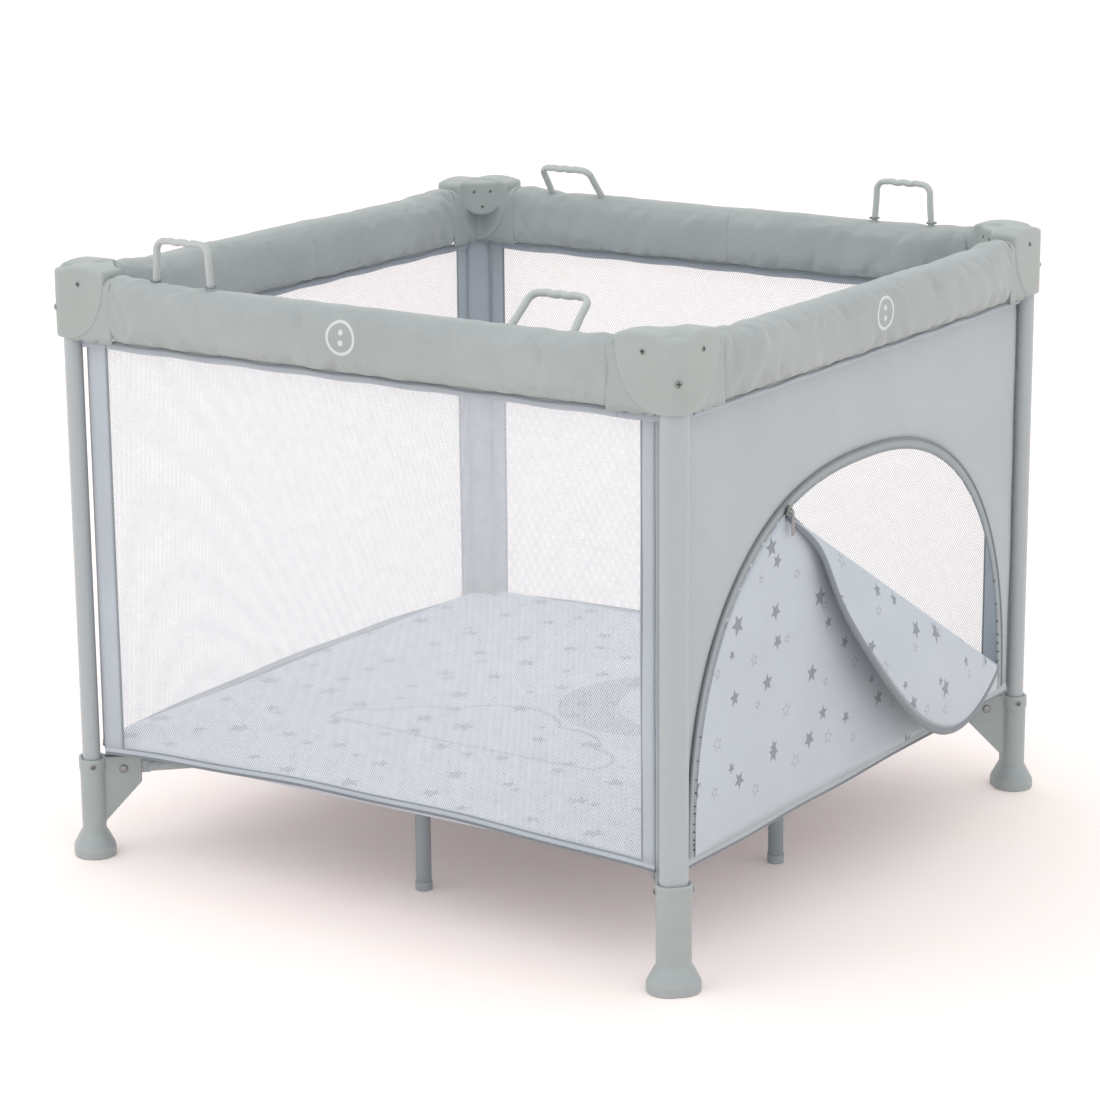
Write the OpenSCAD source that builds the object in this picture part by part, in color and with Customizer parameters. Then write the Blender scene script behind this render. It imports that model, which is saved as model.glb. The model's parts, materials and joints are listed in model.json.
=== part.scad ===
// Square folding playpen on four posts, with hinged top rails, a hinged base frame,
// fabric walls, a padded mat and an arched zip door.
// Front is -Y, the door side is +X, and the floor is z = 0.

/* [Overall] */
// Distance between neighbouring post axes, the same on all four sides
post_spacing = 900; // [750:10:1080]
// Height of the top of the corner caps above the floor
frame_h = 793; // [661:1:952]

/* [Posts and corners] */
// Width of the flattened post tube, across the corner
post_w = 35; // [30:1:38]
// Depth of the flattened post tube, along the corner's diagonal
post_t = 23; // [19:1:25]
// Height of the bottom moulding's top edge
sleeve_h = 134; // [126:1:138]
// Length of each lobe of a corner cap along its rail, from the post axis
cap_lobe = 76; // [75:1:92]
// Height of a corner cap
cap_h = 96; // [86:1:110]

/* [Top rails] */
// Diameter of a top rail tube
rail_d = 22; // [18:1:24]
// Width of the padded rail cover
cover_w = 48; // [44:1:54]
// Height of the padded rail cover
cover_h = 89; // [86:1:107]
// Distance of each pull handle's middle from the middle of its rail
handle_off = 264; // [240:1:275]
// Length of a pull handle along the rail
handle_len = 88; // [70:1:94]
// Lean of the front rail's leaning handle from upright
front_lean = 50; // [30:1:55]
// Lean of the back rail's leaning handle from upright
back_lean = 38; // [30:1:55]

/* [Base frame] */
// Diameter of the base frame's tubes
base_d = 16; // [12:1:17]
// Diameter of a support leg
leg_d = 20; // [14:1:21]
// Distance from a post axis to the pivot of its corner arm
arm_pivot = 41; // [38:1:46]
// Length of a corner arm between its pivots
arm_len = 129; // [100:1:160]

/* [Fabric] */
// Height of the walls' bottom edge
wall_bottom = 144; // [143:1:150]
// Thickness of the padded mat
mat_t = 15; // [10:1:30]
// Height of the door arch above the walls' bottom edge
door_h = 418; // [298:5:448]
// Half the width of the door arch at its foot
door_half = 404; // [250:1:406]

/* [Hidden] */
$fn = 48;
corners = ["front_left", "front_right", "back_right", "back_left"];
sides = ["front", "right", "back", "left"];

half = post_spacing / 2;          // post axis to the playpen's middle plane
pin_r = 3;                        // radius of every pivot pin
pin_gap = 0.05;                   // running clearance around a pin
slide_gap = 0.4;                  // clearance at each side of a tongue in its fork
tongue_t = 10;                    // thickness of the base tubes' flattened ends
tongue_l = 14;                    // length of those ends past their pivot
cheek_t = 3;                      // thickness of the forks' cheeks

// Post and bottom moulding
post_wall = 1.2;
sleeve_wall = 4;
foot_h = 31;                      // height of the flared foot
foot_flare = 16;                  // how far the foot stands out past the post
foot_rim = 12;                    // height of the foot's straight rim
foot_neck = 2;                    // how far the flare's top stands out past the sleeve
seat_gap = 0.1;                   // clearance around the post in its mouldings
collar_h = 17;
collar_wall = 1.2;
post_seat = 8;                    // height of the post tube's lower end
wing_edge = 65;                   // inner edge of the gusset wing from the post axis
wing_low = 44;                    // where the wing meets the sleeve
wing_side = 37;                   // height of the wing's upright edge

// Cap
cap_out = 20;                     // outer face of the cap from the post axis
cap_wall = 2.6;
cap_round = 58;                   // rounding of a lobe's lower inner corner
cap_corner = 18;                  // rounding of the cap's upright corner
cap_base = frame_h - cap_h;
cap_seat = 14;                    // how far the post's top end is below the cap's top
screw_r = 3.4;
screw_at = 38;                    // cap screw from the post axis
screw_up = 71;                    // cap screw above the cap's lower edge
screw_head = 1.2;
grip_h = 20;                      // height of the cap's collar around the post
grip_wall = 3;                    // thickness of that collar
boss_wall = 2;                    // thickness of the bosses around a cap's pins
boss_l = 10;                      // length of those bosses

// Fold geometry. Every link turns by the same angle because of these two sums.
knuckle_pivot = 20;               // base tube pivot from a knuckle's middle
leg_pivot = 20;                   // base tube pivot from a leg's middle
rail_pivot = arm_pivot / sqrt(2) + knuckle_pivot + leg_pivot;
rail_len = half - rail_pivot;
tube_len = rail_len - arm_len / sqrt(2);
knuckle_at = half - (arm_pivot + arm_len) / sqrt(2);
arm_z = 116;                      // height of the corner arms' pivots
tube_z = arm_z + 18;              // height of the base tubes' pivots
// the arm's round part stays outside the wing's upper corner as the arm swings up
arm_tongue = norm([wing_edge - arm_pivot, sleeve_h - arm_z]) + 2;
rail_z = frame_h - 47;            // height of the top rails' pivots

// Rail fittings
rail_wall = 1.5;
eye_t = 14;                       // thickness of a rail's cap end
eye_r = 8;
eye_l = 30;                       // length of a rail's flat cap end
tube_in = 16;                     // where the round tube starts over that flat end
plug_l = 2;                       // how far an end plug reaches past the flat end
hinge_tongue = 8;                 // thickness of the tongue at a rail's middle
hinge_cheek = 4;                  // thickness of each fork cheek there
hinge_r = 9;
hinge_clear = 42;                 // tube end from the middle pivot
lock_wall = 3;
lock_half = 46;                   // half the length of the lock housing
lock_gap = 0.8;
lock_rise = 2;                    // how far the lock housing stands above the hinge

// Handles
handle_z = rail_z + rail_d / 2 + 9;   // height of a handle's pivot rod
handle_top = 71;                      // height of a handle above its rod
handle_r = 4.6;
handle_taper = 5;                     // how much each leg leans in at the top
handle_round = 7;                     // corner between leg and grip
handle_eye_r = 6;
lug_t = 5;
lug_gap = 0.8;

// Covers, walls, mat
cover_z = frame_h - 10 - cover_h;
cover_pad = 7.5;
cover_round = 15;
cover_end = cap_lobe + 1;
cover_slot = 9;                   // half the width of a handle slot along the rail
rod_room = 16;                    // room in the cover past a handle's ends
wall_t = 2.4;
wall_end = 26;                    // wall's straight end from the post axis
lap = 0.6;                        // how far a wall's corner strip laps its end
door_up = 12;                     // door opening above the walls' bottom edge
wall_top = rail_z - rail_d / 2 - 8;
mat_gap = 4;
mat_corner = 40;
mat_z = wall_bottom + 2;

// Door: one closed curve, squarer than an ellipse
door_power = 2.4;
door_mid = -10;                   // middle of the arch along the side
door_steps = 40;
flap_gap = 1.2;
flap_t = 2;
pull_l = 30;
pull_w = 9;
pull_t = 2;
pull_out = wall_t / 2 + 12.8;      // pull's pivot outward of the wall, clear of a falling rail
slider_share = -0.47;             // slider's place as a share of the half width
flap_in = 6;                      // flap's edge inside the arch
flap_foot = -0.98;                // start of the zipped edge, as a share of the half width
flap_z = wall_bottom + 3;
crease_foot = 46;                 // height of the crease's far end

function arch_z(s) = door_h * pow(1 - pow(abs(s), door_power), 1 / door_power);
function arch(s, in = 0) =
    [door_mid + s * (door_half - in), wall_bottom + max(arch_z(s) - in, 0)];
slider_at = arch(slider_share);
crease_end = [door_mid + door_half - 6, wall_bottom + crease_foot];

// Places

module at_side(i) rotate(90 * i) translate([0, -half, 0]) children();
module at_corner(i) rotate(90 * i) translate([-half, -half, 0]) children();
module inward() rotate(45) children();

// Flat outline of a tube flattened across the diagonal
module oval(w, t) {
    square([t, w - t], center = true);
    for (s = [-1, 1]) translate([0, s * (w - t) / 2]) circle(d = t);
}

module bar_y(r, l) rotate([90, 0, 0]) cylinder(r = r, h = l, center = true);
module bar_x(r, l) rotate([0, 90, 0]) cylinder(r = r, h = l, center = true);

// Corner pieces

module post(i)
    color("#b6bdbe") at_corner(i) inward()
    translate([0, 0, post_seat]) linear_extrude(frame_h - cap_seat - post_seat)
    difference() {
        oval(post_w, post_t);
        oval(post_w - 2 * post_wall, post_t - 2 * post_wall);
    }

module wing_outline() {
    in = post_t / 2 + 1;
    polygon([
        [in, wing_low], [in + 2, wing_low], [wing_edge, sleeve_h - wing_side],
        [wing_edge, sleeve_h], [in, sleeve_h]
    ]);
}

module foot(i)
    color("#aeb6b6") at_corner(i) inward() difference() {
        union() {
            linear_extrude(foot_rim) oval(post_w + 2 * foot_flare, post_t + 2 * foot_flare);
            hull() {
                translate([0, 0, foot_rim - 1]) linear_extrude(1)
                    oval(post_w + 2 * foot_flare, post_t + 2 * foot_flare, $fn = 32);
                translate([0, 0, foot_h - 1]) linear_extrude(1)
                    oval(post_w + 2 * (sleeve_wall + foot_neck),
                         post_t + 2 * (sleeve_wall + foot_neck), $fn = 32);
            }
            linear_extrude(sleeve_h) oval(post_w + 2 * sleeve_wall, post_t + 2 * sleeve_wall);
            translate([0, 0, sleeve_h - collar_h]) linear_extrude(collar_h)
                oval(post_w + 2 * (sleeve_wall + collar_wall),
                     post_t + 2 * (sleeve_wall + collar_wall));
            rotate([90, 0, 0])
                linear_extrude(tongue_t + 2 * (slide_gap + cheek_t), center = true)
                wing_outline();
        }
        // seat of the post tube
        translate([0, 0, post_seat]) linear_extrude(sleeve_h)
            oval(post_w + 2 * seat_gap, post_t + 2 * seat_gap);
        // slot for the corner arm's tongue
        slot_in = post_t / 2 + sleeve_wall + 2;
        translate([slot_in, -tongue_t / 2 - slide_gap, arm_z - base_d])
            cube([wing_edge, tongue_t + 2 * slide_gap, sleeve_h]);
    }

module foot_pin(i)
    color("#d7dadb") at_corner(i) inward() translate([arm_pivot, 0, arm_z])
    bar_y(pin_r, tongue_t + 2 * (slide_gap + cheek_t));

// Side view of one lobe, x along the rail and y up
module lobe_outline(in = 0) difference() {
    translate([-cap_out + in, cap_base - in]) square([cap_out + cap_lobe - 2 * in, cap_h]);
    translate([cap_lobe - cap_round - in, cap_base - 2 * in - 0.01]) difference() {
        square(cap_round + 1);
        translate([0, cap_round + in]) circle(cap_round);
    }
}

module lobe_pair(w, in) for (m = [0, 1]) mirror([m, -m, 0])
    rotate([90, 0, 0]) linear_extrude(w, center = true) lobe_outline(in);

// Plan of the whole cap with its rounded upright corner, drawn in by in
module cap_plan(in) {
    far = 2 * cap_lobe;
    at = cap_corner - cap_out;
    translate([at, in - cap_out]) square(far);
    translate([in - cap_out, at]) square(far);
    translate([at, at]) circle(cap_corner - in);
}

module cap(i)
    color("#b4bbbb") at_corner(i) {
        difference() {
            intersection() {
                lobe_pair(2 * cap_out, 0);
                linear_extrude(frame_h) cap_plan(0);
            }
            // hollow, open below and at both ends
            inner = cap_out - cap_wall;
            intersection() {
                for (m = [0, 1]) mirror([m, -m, 0]) translate([-inner, -inner, cap_base - 1])
                    cube([2 * cap_lobe, 2 * inner, cap_h - cap_wall + 1]);
                linear_extrude(frame_h) cap_plan(cap_wall);
            }
        }
        // collar that grips the post
        inward() translate([0, 0, frame_h - cap_wall - grip_h]) linear_extrude(grip_h)
        difference() {
            oval(post_w + 2 * grip_wall, post_t + 2 * grip_wall);
            oval(post_w + 2 * seat_gap, post_t + 2 * seat_gap);
        }
        // pivot pins of the two rails, and the cap screws
        for (m = [0, 1]) mirror([m, -m, 0]) {
            translate([rail_pivot, 0, rail_z]) bar_y(pin_r, 2 * cap_out - cap_wall);
            for (s = [-1, 1])
                translate([rail_pivot, s * (eye_t / 2 + slide_gap + boss_l / 2), rail_z])
                bar_y(pin_r + boss_wall, boss_l);
            translate([screw_at, -cap_out, cap_base + screw_up])
                bar_y(screw_r, 2 * screw_head);
        }
    }

// Top rails. Half a hinges on the side's first corner, half b on its second.

module rail_half(i, s)
    color("#c3c7c9") at_side(i) translate([0, 0, rail_z]) mirror([s > 0 ? 1 : 0, 0, 0]) {
        far = rail_len;
        difference() {
            union() {
                translate([-far, 0, 0]) bar_y(eye_r, eye_t);
                translate([-far, -eye_t / 2, -eye_r]) cube([eye_l, eye_t, 2 * eye_r]);
                translate([-far + tube_in, 0, 0]) rotate([0, 90, 0])
                    cylinder(d = rail_d, h = far - tube_in - hinge_clear);
            }
            translate([-far, 0, 0]) bar_y(pin_r + pin_gap, 2 * rail_d);
            translate([-far + eye_l + plug_l, 0, 0]) rotate([0, 90, 0])
                cylinder(d = rail_d - 2 * rail_wall, h = far - eye_l - 2 * plug_l - hinge_clear);
        }
        if (s < 0) rail_tongue();
        else rail_fork();
        translate([-handle_off, 0, 0]) if (i % 2 == 0) handle_rod();
    }

module rail_tongue() {
    translate([-hinge_clear - plug_l, -hinge_tongue / 2, -hinge_r])
        cube([hinge_clear + plug_l, hinge_tongue, 2 * hinge_r]);
    bar_y(hinge_r, hinge_tongue);
    bar_y(pin_r, hinge_tongue + 2 * (slide_gap + hinge_cheek));
}

module rail_fork() for (s = [-1, 1])
    translate([0, s * (hinge_tongue + hinge_cheek + 2 * slide_gap) / 2, 0]) difference() {
        union() {
            translate([-hinge_clear - plug_l, -hinge_cheek / 2, -hinge_r])
                cube([hinge_clear + plug_l, hinge_cheek, 2 * hinge_r]);
            bar_y(hinge_r, hinge_cheek);
        }
        bar_y(pin_r + pin_gap, 2 * hinge_cheek);
    }

// Rod and lugs on a rail that carry a pull handle
module handle_rod() {
    reach = handle_len / 2 + handle_r + lug_gap;
    up = handle_z - rail_z;
    translate([0, 0, up]) bar_x(pin_r, 2 * (reach + lug_t));
    for (s = [-1, 1]) translate([s * (reach + lug_t / 2), 0, up / 2 + 1])
        cube([lug_t, 2 * pin_r + 3, up + 2 * pin_r - 1], center = true);
}

// Open-topped lock housing over the middle joint, fixed to half a
module rail_lock(i)
    color("#8d9496") at_side(i) translate([0, 0, rail_z]) {
        in = rail_d / 2 + lock_gap;
        for (s = [-1, 1]) translate([0, s * (in + lock_wall / 2), -lock_rise / 2])
            cube([2 * lock_half, lock_wall, 2 * in + lock_rise / 2], center = true);
        translate([0, 0, -in - lock_wall / 2])
            cube([2 * lock_half, 2 * (in + lock_wall), lock_wall], center = true);
        // saddle that rests on the tube of half a
        translate([-lock_half, -in - 0.2, -in])
            difference() {
                cube([lock_half - hinge_clear, 2 * in + 0.4, in]);
                translate([0, in + 0.2, in]) bar_x(rail_d / 2 + pin_gap, 3 * lock_half);
            }
    }

// Pull handle: a flat ring, narrower at the grip, turning on its rod
module ring_outline(in, foot) {
    foot_x = handle_len / 2 + handle_r - in;
    top_z = handle_top - in;
    polygon([
        [-foot_x, foot], [foot_x, foot], [foot_x - handle_taper, top_z - handle_round],
        [foot_x - handle_taper - handle_round, top_z],
        [-foot_x + handle_taper + handle_round, top_z],
        [-foot_x + handle_taper, top_z - handle_round]
    ]);
}

module handle(i, s, lean)
    color("#c0c4c4") at_side(i) translate([s * handle_off, 0, handle_z])
    rotate([-lean, 0, 0]) difference() {
        union() {
            rotate([90, 0, 0]) linear_extrude(2 * handle_r, center = true) difference() {
                ring_outline(0, 0);
                ring_outline(2 * handle_r, -1);
            }
            for (e = [-1, 1]) translate([e * handle_len / 2, 0, 0])
                bar_x(handle_eye_r, 2 * handle_r);
        }
        bar_x(pin_r + pin_gap, 2 * handle_len);
    }

// Base frame

// Tube between two flattened ends with pivot bores
module tongue_tube(l, tongue_a, tongue_b) {
    plug = 3;
    difference() {
        union() {
            for (x = [0, l]) translate([x, 0, 0]) bar_y(base_d / 2, tongue_t);
            translate([0, -tongue_t / 2, -base_d / 2])
                cube([tongue_a + plug, tongue_t, base_d]);
            translate([l - tongue_b - plug, -tongue_t / 2, -base_d / 2])
                cube([tongue_b + plug, tongue_t, base_d]);
            translate([tongue_a, 0, 0]) rotate([0, 90, 0])
                cylinder(d = base_d, h = l - tongue_a - tongue_b);
        }
        for (x = [0, l]) translate([x, 0, 0]) bar_y(pin_r + pin_gap, 2 * base_d);
        translate([tongue_a + plug, 0, 0]) rotate([0, 90, 0])
            cylinder(d = base_d - 2 * rail_wall, h = l - tongue_a - tongue_b - 2 * plug);
    }
}

module arm(i)
    color("#a9b0b1") at_corner(i) inward() translate([arm_pivot, 0, arm_z])
    tongue_tube(arm_len, arm_tongue, tongue_l);

module base_tube(i, s)
    color("#a9b0b1") at_side(i) mirror([s > 0 ? 1 : 0, 0, 0])
    translate([-knuckle_at + knuckle_pivot, half - knuckle_at, tube_z])
    tongue_tube(tube_len, tongue_l, tongue_l);

fork_in = tongue_t / 2 + slide_gap;       // inner face of a fork cheek
fork_out = fork_in + cheek_t;

// Fork of two cheeks along +X, from the middle out to a pivot, with its pin
module fork(pivot, core) {
    for (s = [-1, 1]) translate([core, s * (fork_in + fork_out) / 2 - cheek_t / 2, -base_d / 2])
        cube([pivot + base_d / 2 - core, cheek_t, base_d]);
    translate([pivot, 0, 0]) bar_y(pin_r, 2 * fork_out);
}

// Knuckle: joins a corner arm to two base tubes and stays level
module knuckle(i)
    color("#868d90") at_corner(i) {
        at = half - knuckle_at;
        core = knuckle_pivot - base_d / 2 - 0.6;
        translate([at, at, tube_z]) {
            translate([-core, -core, -base_d / 2]) cube([2 * core, 2 * core, base_d]);
            for (r = [0, 90]) rotate(r) fork(knuckle_pivot, core - 3);
        }
        // lower fork over the arm's end
        translate([at, at, 0]) inward() {
            for (s = [-1, 1]) translate([-base_d / 2, s * (fork_in + cheek_t / 2) - cheek_t / 2,
                    arm_z - base_d / 2])
                cube([base_d, cheek_t, tube_z - arm_z + 2]);
            translate([0, 0, arm_z]) bar_y(pin_r, 2 * fork_out);
        }
    }

// Support leg under the middle of each side, with a fork to each side
module leg(i)
    color("#9aa1a4") at_side(i) translate([0, half - knuckle_at, 0]) {
        core = leg_pivot - base_d / 2 - 0.6;
        top = tube_z + base_d / 2;
        translate([0, 0, tube_z]) for (r = [0, 180]) rotate(r) fork(leg_pivot, 0);
        translate([-core, -fork_out, tube_z - base_d / 2]) cube([2 * core, 2 * fork_out, base_d]);
        translate([-leg_pivot - base_d / 2, -fork_out, top + slide_gap / 2])
            cube([2 * leg_pivot + base_d, 2 * fork_out, 2]);
        translate([-core, -fork_out, top - 1]) cube([2 * core, 2 * fork_out, 2]);
        cylinder(d = leg_d, h = tube_z - base_d / 2 + 1);
        cylinder(d = leg_d + 2, h = 12);
    }

// Fabric pieces

module cover_outline(w, h, r) {
    translate([-w / 2, 0]) square([w, h - r]);
    translate([-w / 2 + r, 0]) square([w - 2 * r, h]);
    for (s = [-1, 1]) translate([s * (w / 2 - r), h - r]) circle(r);
}

module cover(i)
    color("#a4abac") at_side(i) difference() {
        l = 2 * (half - cover_end);
        translate([-l / 2, 0, cover_z]) rotate([90, 0, 90]) linear_extrude(l) difference() {
            cover_outline(cover_w, cover_h, cover_round);
            translate([0, -1]) square([cover_w - 2 * cover_pad, 2 * (cover_h - cover_pad)],
                center = true);
        }
        // slots for the handles' legs
        if (i % 2 == 0) for (s = [-1, 1]) for (e = [-1, 1])
            translate([s * handle_off + e * handle_len / 2 - cover_slot, -eye_r, rail_z])
            cube([2 * cover_slot, eye_r + cover_w, cover_h]);
        // room over each handle's rod
        if (i % 2 == 0) for (s = [-1, 1])
            translate([s * handle_off - handle_len / 2 - rod_room, -eye_r, rail_z])
            cube([handle_len + 2 * rod_room, 2 * eye_r, handle_z - rail_z + eye_r]);
    }

module wall_sheet(i) {
    l = 2 * (half - wall_end);
    at_side(i) translate([-l / 2, -wall_t / 2, wall_bottom])
        cube([l, wall_t, wall_top - wall_bottom]);
    at_side(i) translate([half - wall_end, (wall_t - lap) / 2, wall_bottom]) rotate(45)
        translate([-lap, -lap, 0])
        cube([wall_end * sqrt(2) - 2.6 * wall_t, wall_t, wall_top - wall_bottom]);
}

module door_hole() rotate([90, 0, 0])
    linear_extrude(4 * wall_t, center = true)
    polygon([for (k = [0 : door_steps]) arch(2 * k / door_steps - 1, 0)]);

module wall(i)
    color(i == 1 ? "#b8bfc1" : "#e6eaec") if (i == 1) difference() {
        wall_sheet(i);
        at_side(i) translate([0, 0, door_up]) door_hole();
    } else wall_sheet(i);

// Zipped part of the flap: the arch below the line from the slider to the far foot
module flap_flat() polygon(concat(
    [for (k = [0 : door_steps / 2])
        let(s = flap_foot + (slider_share - flap_foot) * 2 * k / door_steps)
        arch(s, flap_in)],
    [crease_end, [crease_end[0], flap_z], [arch(flap_foot, flap_in)[0], flap_z]]));

// Loose part, folded out and down over the zipped part along that line
function droop(u) = 5 + 107 * pow(sin(180 * pow(u, 1.35)), 0.9);
function crease(u) = slider_at + u * (crease_end - slider_at) - [2, 3];
module flap_fold() polygon(concat(
    [for (k = [0 : 12]) crease(k / 12)],
    [for (k = [12 : -1 : 0]) crease(k / 12) - [0.42, 1] * droop(k / 12)]));

module door_flap()
    color("#c9d0d8") at_side(1) rotate([90, 0, 0]) translate([0, 0, wall_t / 2 + flap_gap]) {
        linear_extrude(flap_t) flap_flat();
        linear_extrude(3 * flap_t) flap_fold();
    }

// Zip pull hanging from the slider
module zip_pull()
    color("#9c9c98") at_side(1)
    translate([slider_at[0], -pull_out, slider_at[1]]) {
        rotate([0, 90, 0]) cylinder(d = pull_t + 1, h = pull_w, center = true);
        translate([-pull_w / 2, -pull_t / 2, -pull_l]) cube([pull_w, pull_t, pull_l]);
    }

module mat()
    color("#c9ccd8") translate([0, 0, mat_z]) linear_extrude(mat_t) difference() {
        square(2 * (half - wall_t / 2 - mat_gap), center = true);
        for (r = [0 : 90 : 270]) rotate(r) translate([half, half]) rotate(45)
            square([2 * mat_corner, 4 * mat_corner], center = true);
    }

mat();
door_flap();
zip_pull();
for (i = [0 : 3]) {
    post(i);
    union() {
        foot(i);
        foot_pin(i);
    }
    cap(i);
    arm(i);
    knuckle(i);
    rail_half(i, -1);
    rail_half(i, 1);
    rail_lock(i);
    base_tube(i, -1);
    base_tube(i, 1);
    leg(i);
    cover(i);
    wall(i);
}
for (i = [0, 2]) {
    handle(i, -1, 0);
    handle(i, 1, i == 0 ? front_lean : back_lean);
}
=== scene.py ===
"""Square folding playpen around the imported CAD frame. Metres, +Z up, door +X, front -Y."""
import json
import math
from math import cos, pi, radians, sin

import bmesh
import bpy
import numpy as np
from mathutils import Matrix, Vector, noise


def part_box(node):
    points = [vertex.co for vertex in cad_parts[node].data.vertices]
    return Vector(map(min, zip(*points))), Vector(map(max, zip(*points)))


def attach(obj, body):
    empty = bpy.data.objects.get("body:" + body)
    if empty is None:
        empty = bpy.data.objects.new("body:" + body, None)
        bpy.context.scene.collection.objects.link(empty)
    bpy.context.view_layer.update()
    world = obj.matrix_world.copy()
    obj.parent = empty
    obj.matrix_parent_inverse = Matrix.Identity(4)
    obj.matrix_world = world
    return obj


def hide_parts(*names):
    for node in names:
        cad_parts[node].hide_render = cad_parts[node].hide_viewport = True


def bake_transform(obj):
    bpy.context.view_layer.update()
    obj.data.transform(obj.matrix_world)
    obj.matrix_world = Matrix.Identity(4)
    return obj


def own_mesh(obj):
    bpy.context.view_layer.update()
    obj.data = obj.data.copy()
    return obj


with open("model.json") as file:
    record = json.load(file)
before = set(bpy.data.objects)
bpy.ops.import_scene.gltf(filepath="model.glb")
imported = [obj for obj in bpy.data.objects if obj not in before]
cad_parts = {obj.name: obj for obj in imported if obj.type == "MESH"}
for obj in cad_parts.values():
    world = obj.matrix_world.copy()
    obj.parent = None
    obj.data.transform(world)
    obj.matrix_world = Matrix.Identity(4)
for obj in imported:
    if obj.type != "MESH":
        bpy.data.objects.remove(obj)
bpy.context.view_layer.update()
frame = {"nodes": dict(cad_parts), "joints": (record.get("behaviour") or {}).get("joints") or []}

# ---------------------------------------------------------------- places, from the frame

CORNERS = ["front_left", "front_right", "back_right", "back_left"]
SIDES = ["front", "right", "back", "left"]
JOINTS = {j["name"]: j for j in frame["joints"]}


def box_of(node):
    lo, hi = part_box(node)
    return np.array(lo), np.array(hi)


post_lo, post_hi = box_of("front_left_post")
HALF = -float(post_lo[0] + post_hi[0]) / 2          # post axis to the middle plane
CAP_LO, CAP_HI = box_of("front_left_cap")
CAP_BASE, CAP_TOP = float(CAP_LO[2]), float(CAP_HI[2])
CAP_OUT = -HALF - float(CAP_LO[0])                  # outer face of a cap from the post axis
CAP_LOBE = float(CAP_HI[0]) + HALF                  # end of a lobe from the post axis
COVER_LO, COVER_HI = box_of("front_cover")
COVER_END = float(COVER_HI[0])
COVER_W = float(COVER_HI[1] - COVER_LO[1])
COVER_BASE, COVER_TOP = float(COVER_LO[2]), float(COVER_HI[2])
WALL_LO, WALL_HI = box_of("front_wall")
WALL_BASE, WALL_TOP = float(WALL_LO[2]), float(WALL_HI[2])
MAT_LO, MAT_HI = box_of("mat")
HANDLE_Z = JOINTS["front_handle_a_swing"]["pos_m"][2]
HANDLE_OFF = JOINTS["front_handle_b_swing"]["pos_m"][0]
HANDLE_TOP = float(box_of("front_handle_a")[1][2]) - HANDLE_Z
HANDLE_HALF = float(box_of("front_handle_a")[1][0] - box_of("front_handle_a")[0][0]) / 2
ARM_PIVOT = math.hypot(*(np.array(JOINTS["front_left_arm_fold"]["pos_m"][:2]) + HALF))
ARM_Z = JOINTS["front_left_arm_fold"]["pos_m"][2]
PULL = np.array(JOINTS["zip_pull_swing"]["pos_m"])
FOOT_TOP = float(box_of("front_left_foot")[1][2])

MM = 0.001
WALL_IN = 26 * MM                 # wall's straight end from the post axis
DOOR_MID = -10 * MM
DOOR_HALF = 404 * MM
DOOR_H = 418 * MM
DOOR_POWER = 2.4                  # squareness of the arch
SLIDER_Z = float(PULL[2])
SLIDER_X = float(PULL[1])         # along the door side
CREASE_END = Vector((DOOR_MID + DOOR_HALF - 6 * MM, 0, WALL_BASE + 46 * MM))


def turn(i):
    return Matrix.Rotation(radians(90 * i), 4, "Z")


def side_matrix(i):
    """Side frame: x along the side, y out of the playpen is negative, z up."""
    return turn(i) @ Matrix.Translation((0, -HALF, 0))


def corner_matrix(i):
    """Corner frame: origin on the post axis, x and y along the two rails."""
    return turn(i) @ Matrix.Translation((-HALF, -HALF, 0))


def inward_matrix(i):
    """Like a corner frame, with x towards the middle of the playpen."""
    return corner_matrix(i) @ Matrix.Rotation(radians(45), 4, "Z")


# ---------------------------------------------------------------- shader graph helper

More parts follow.
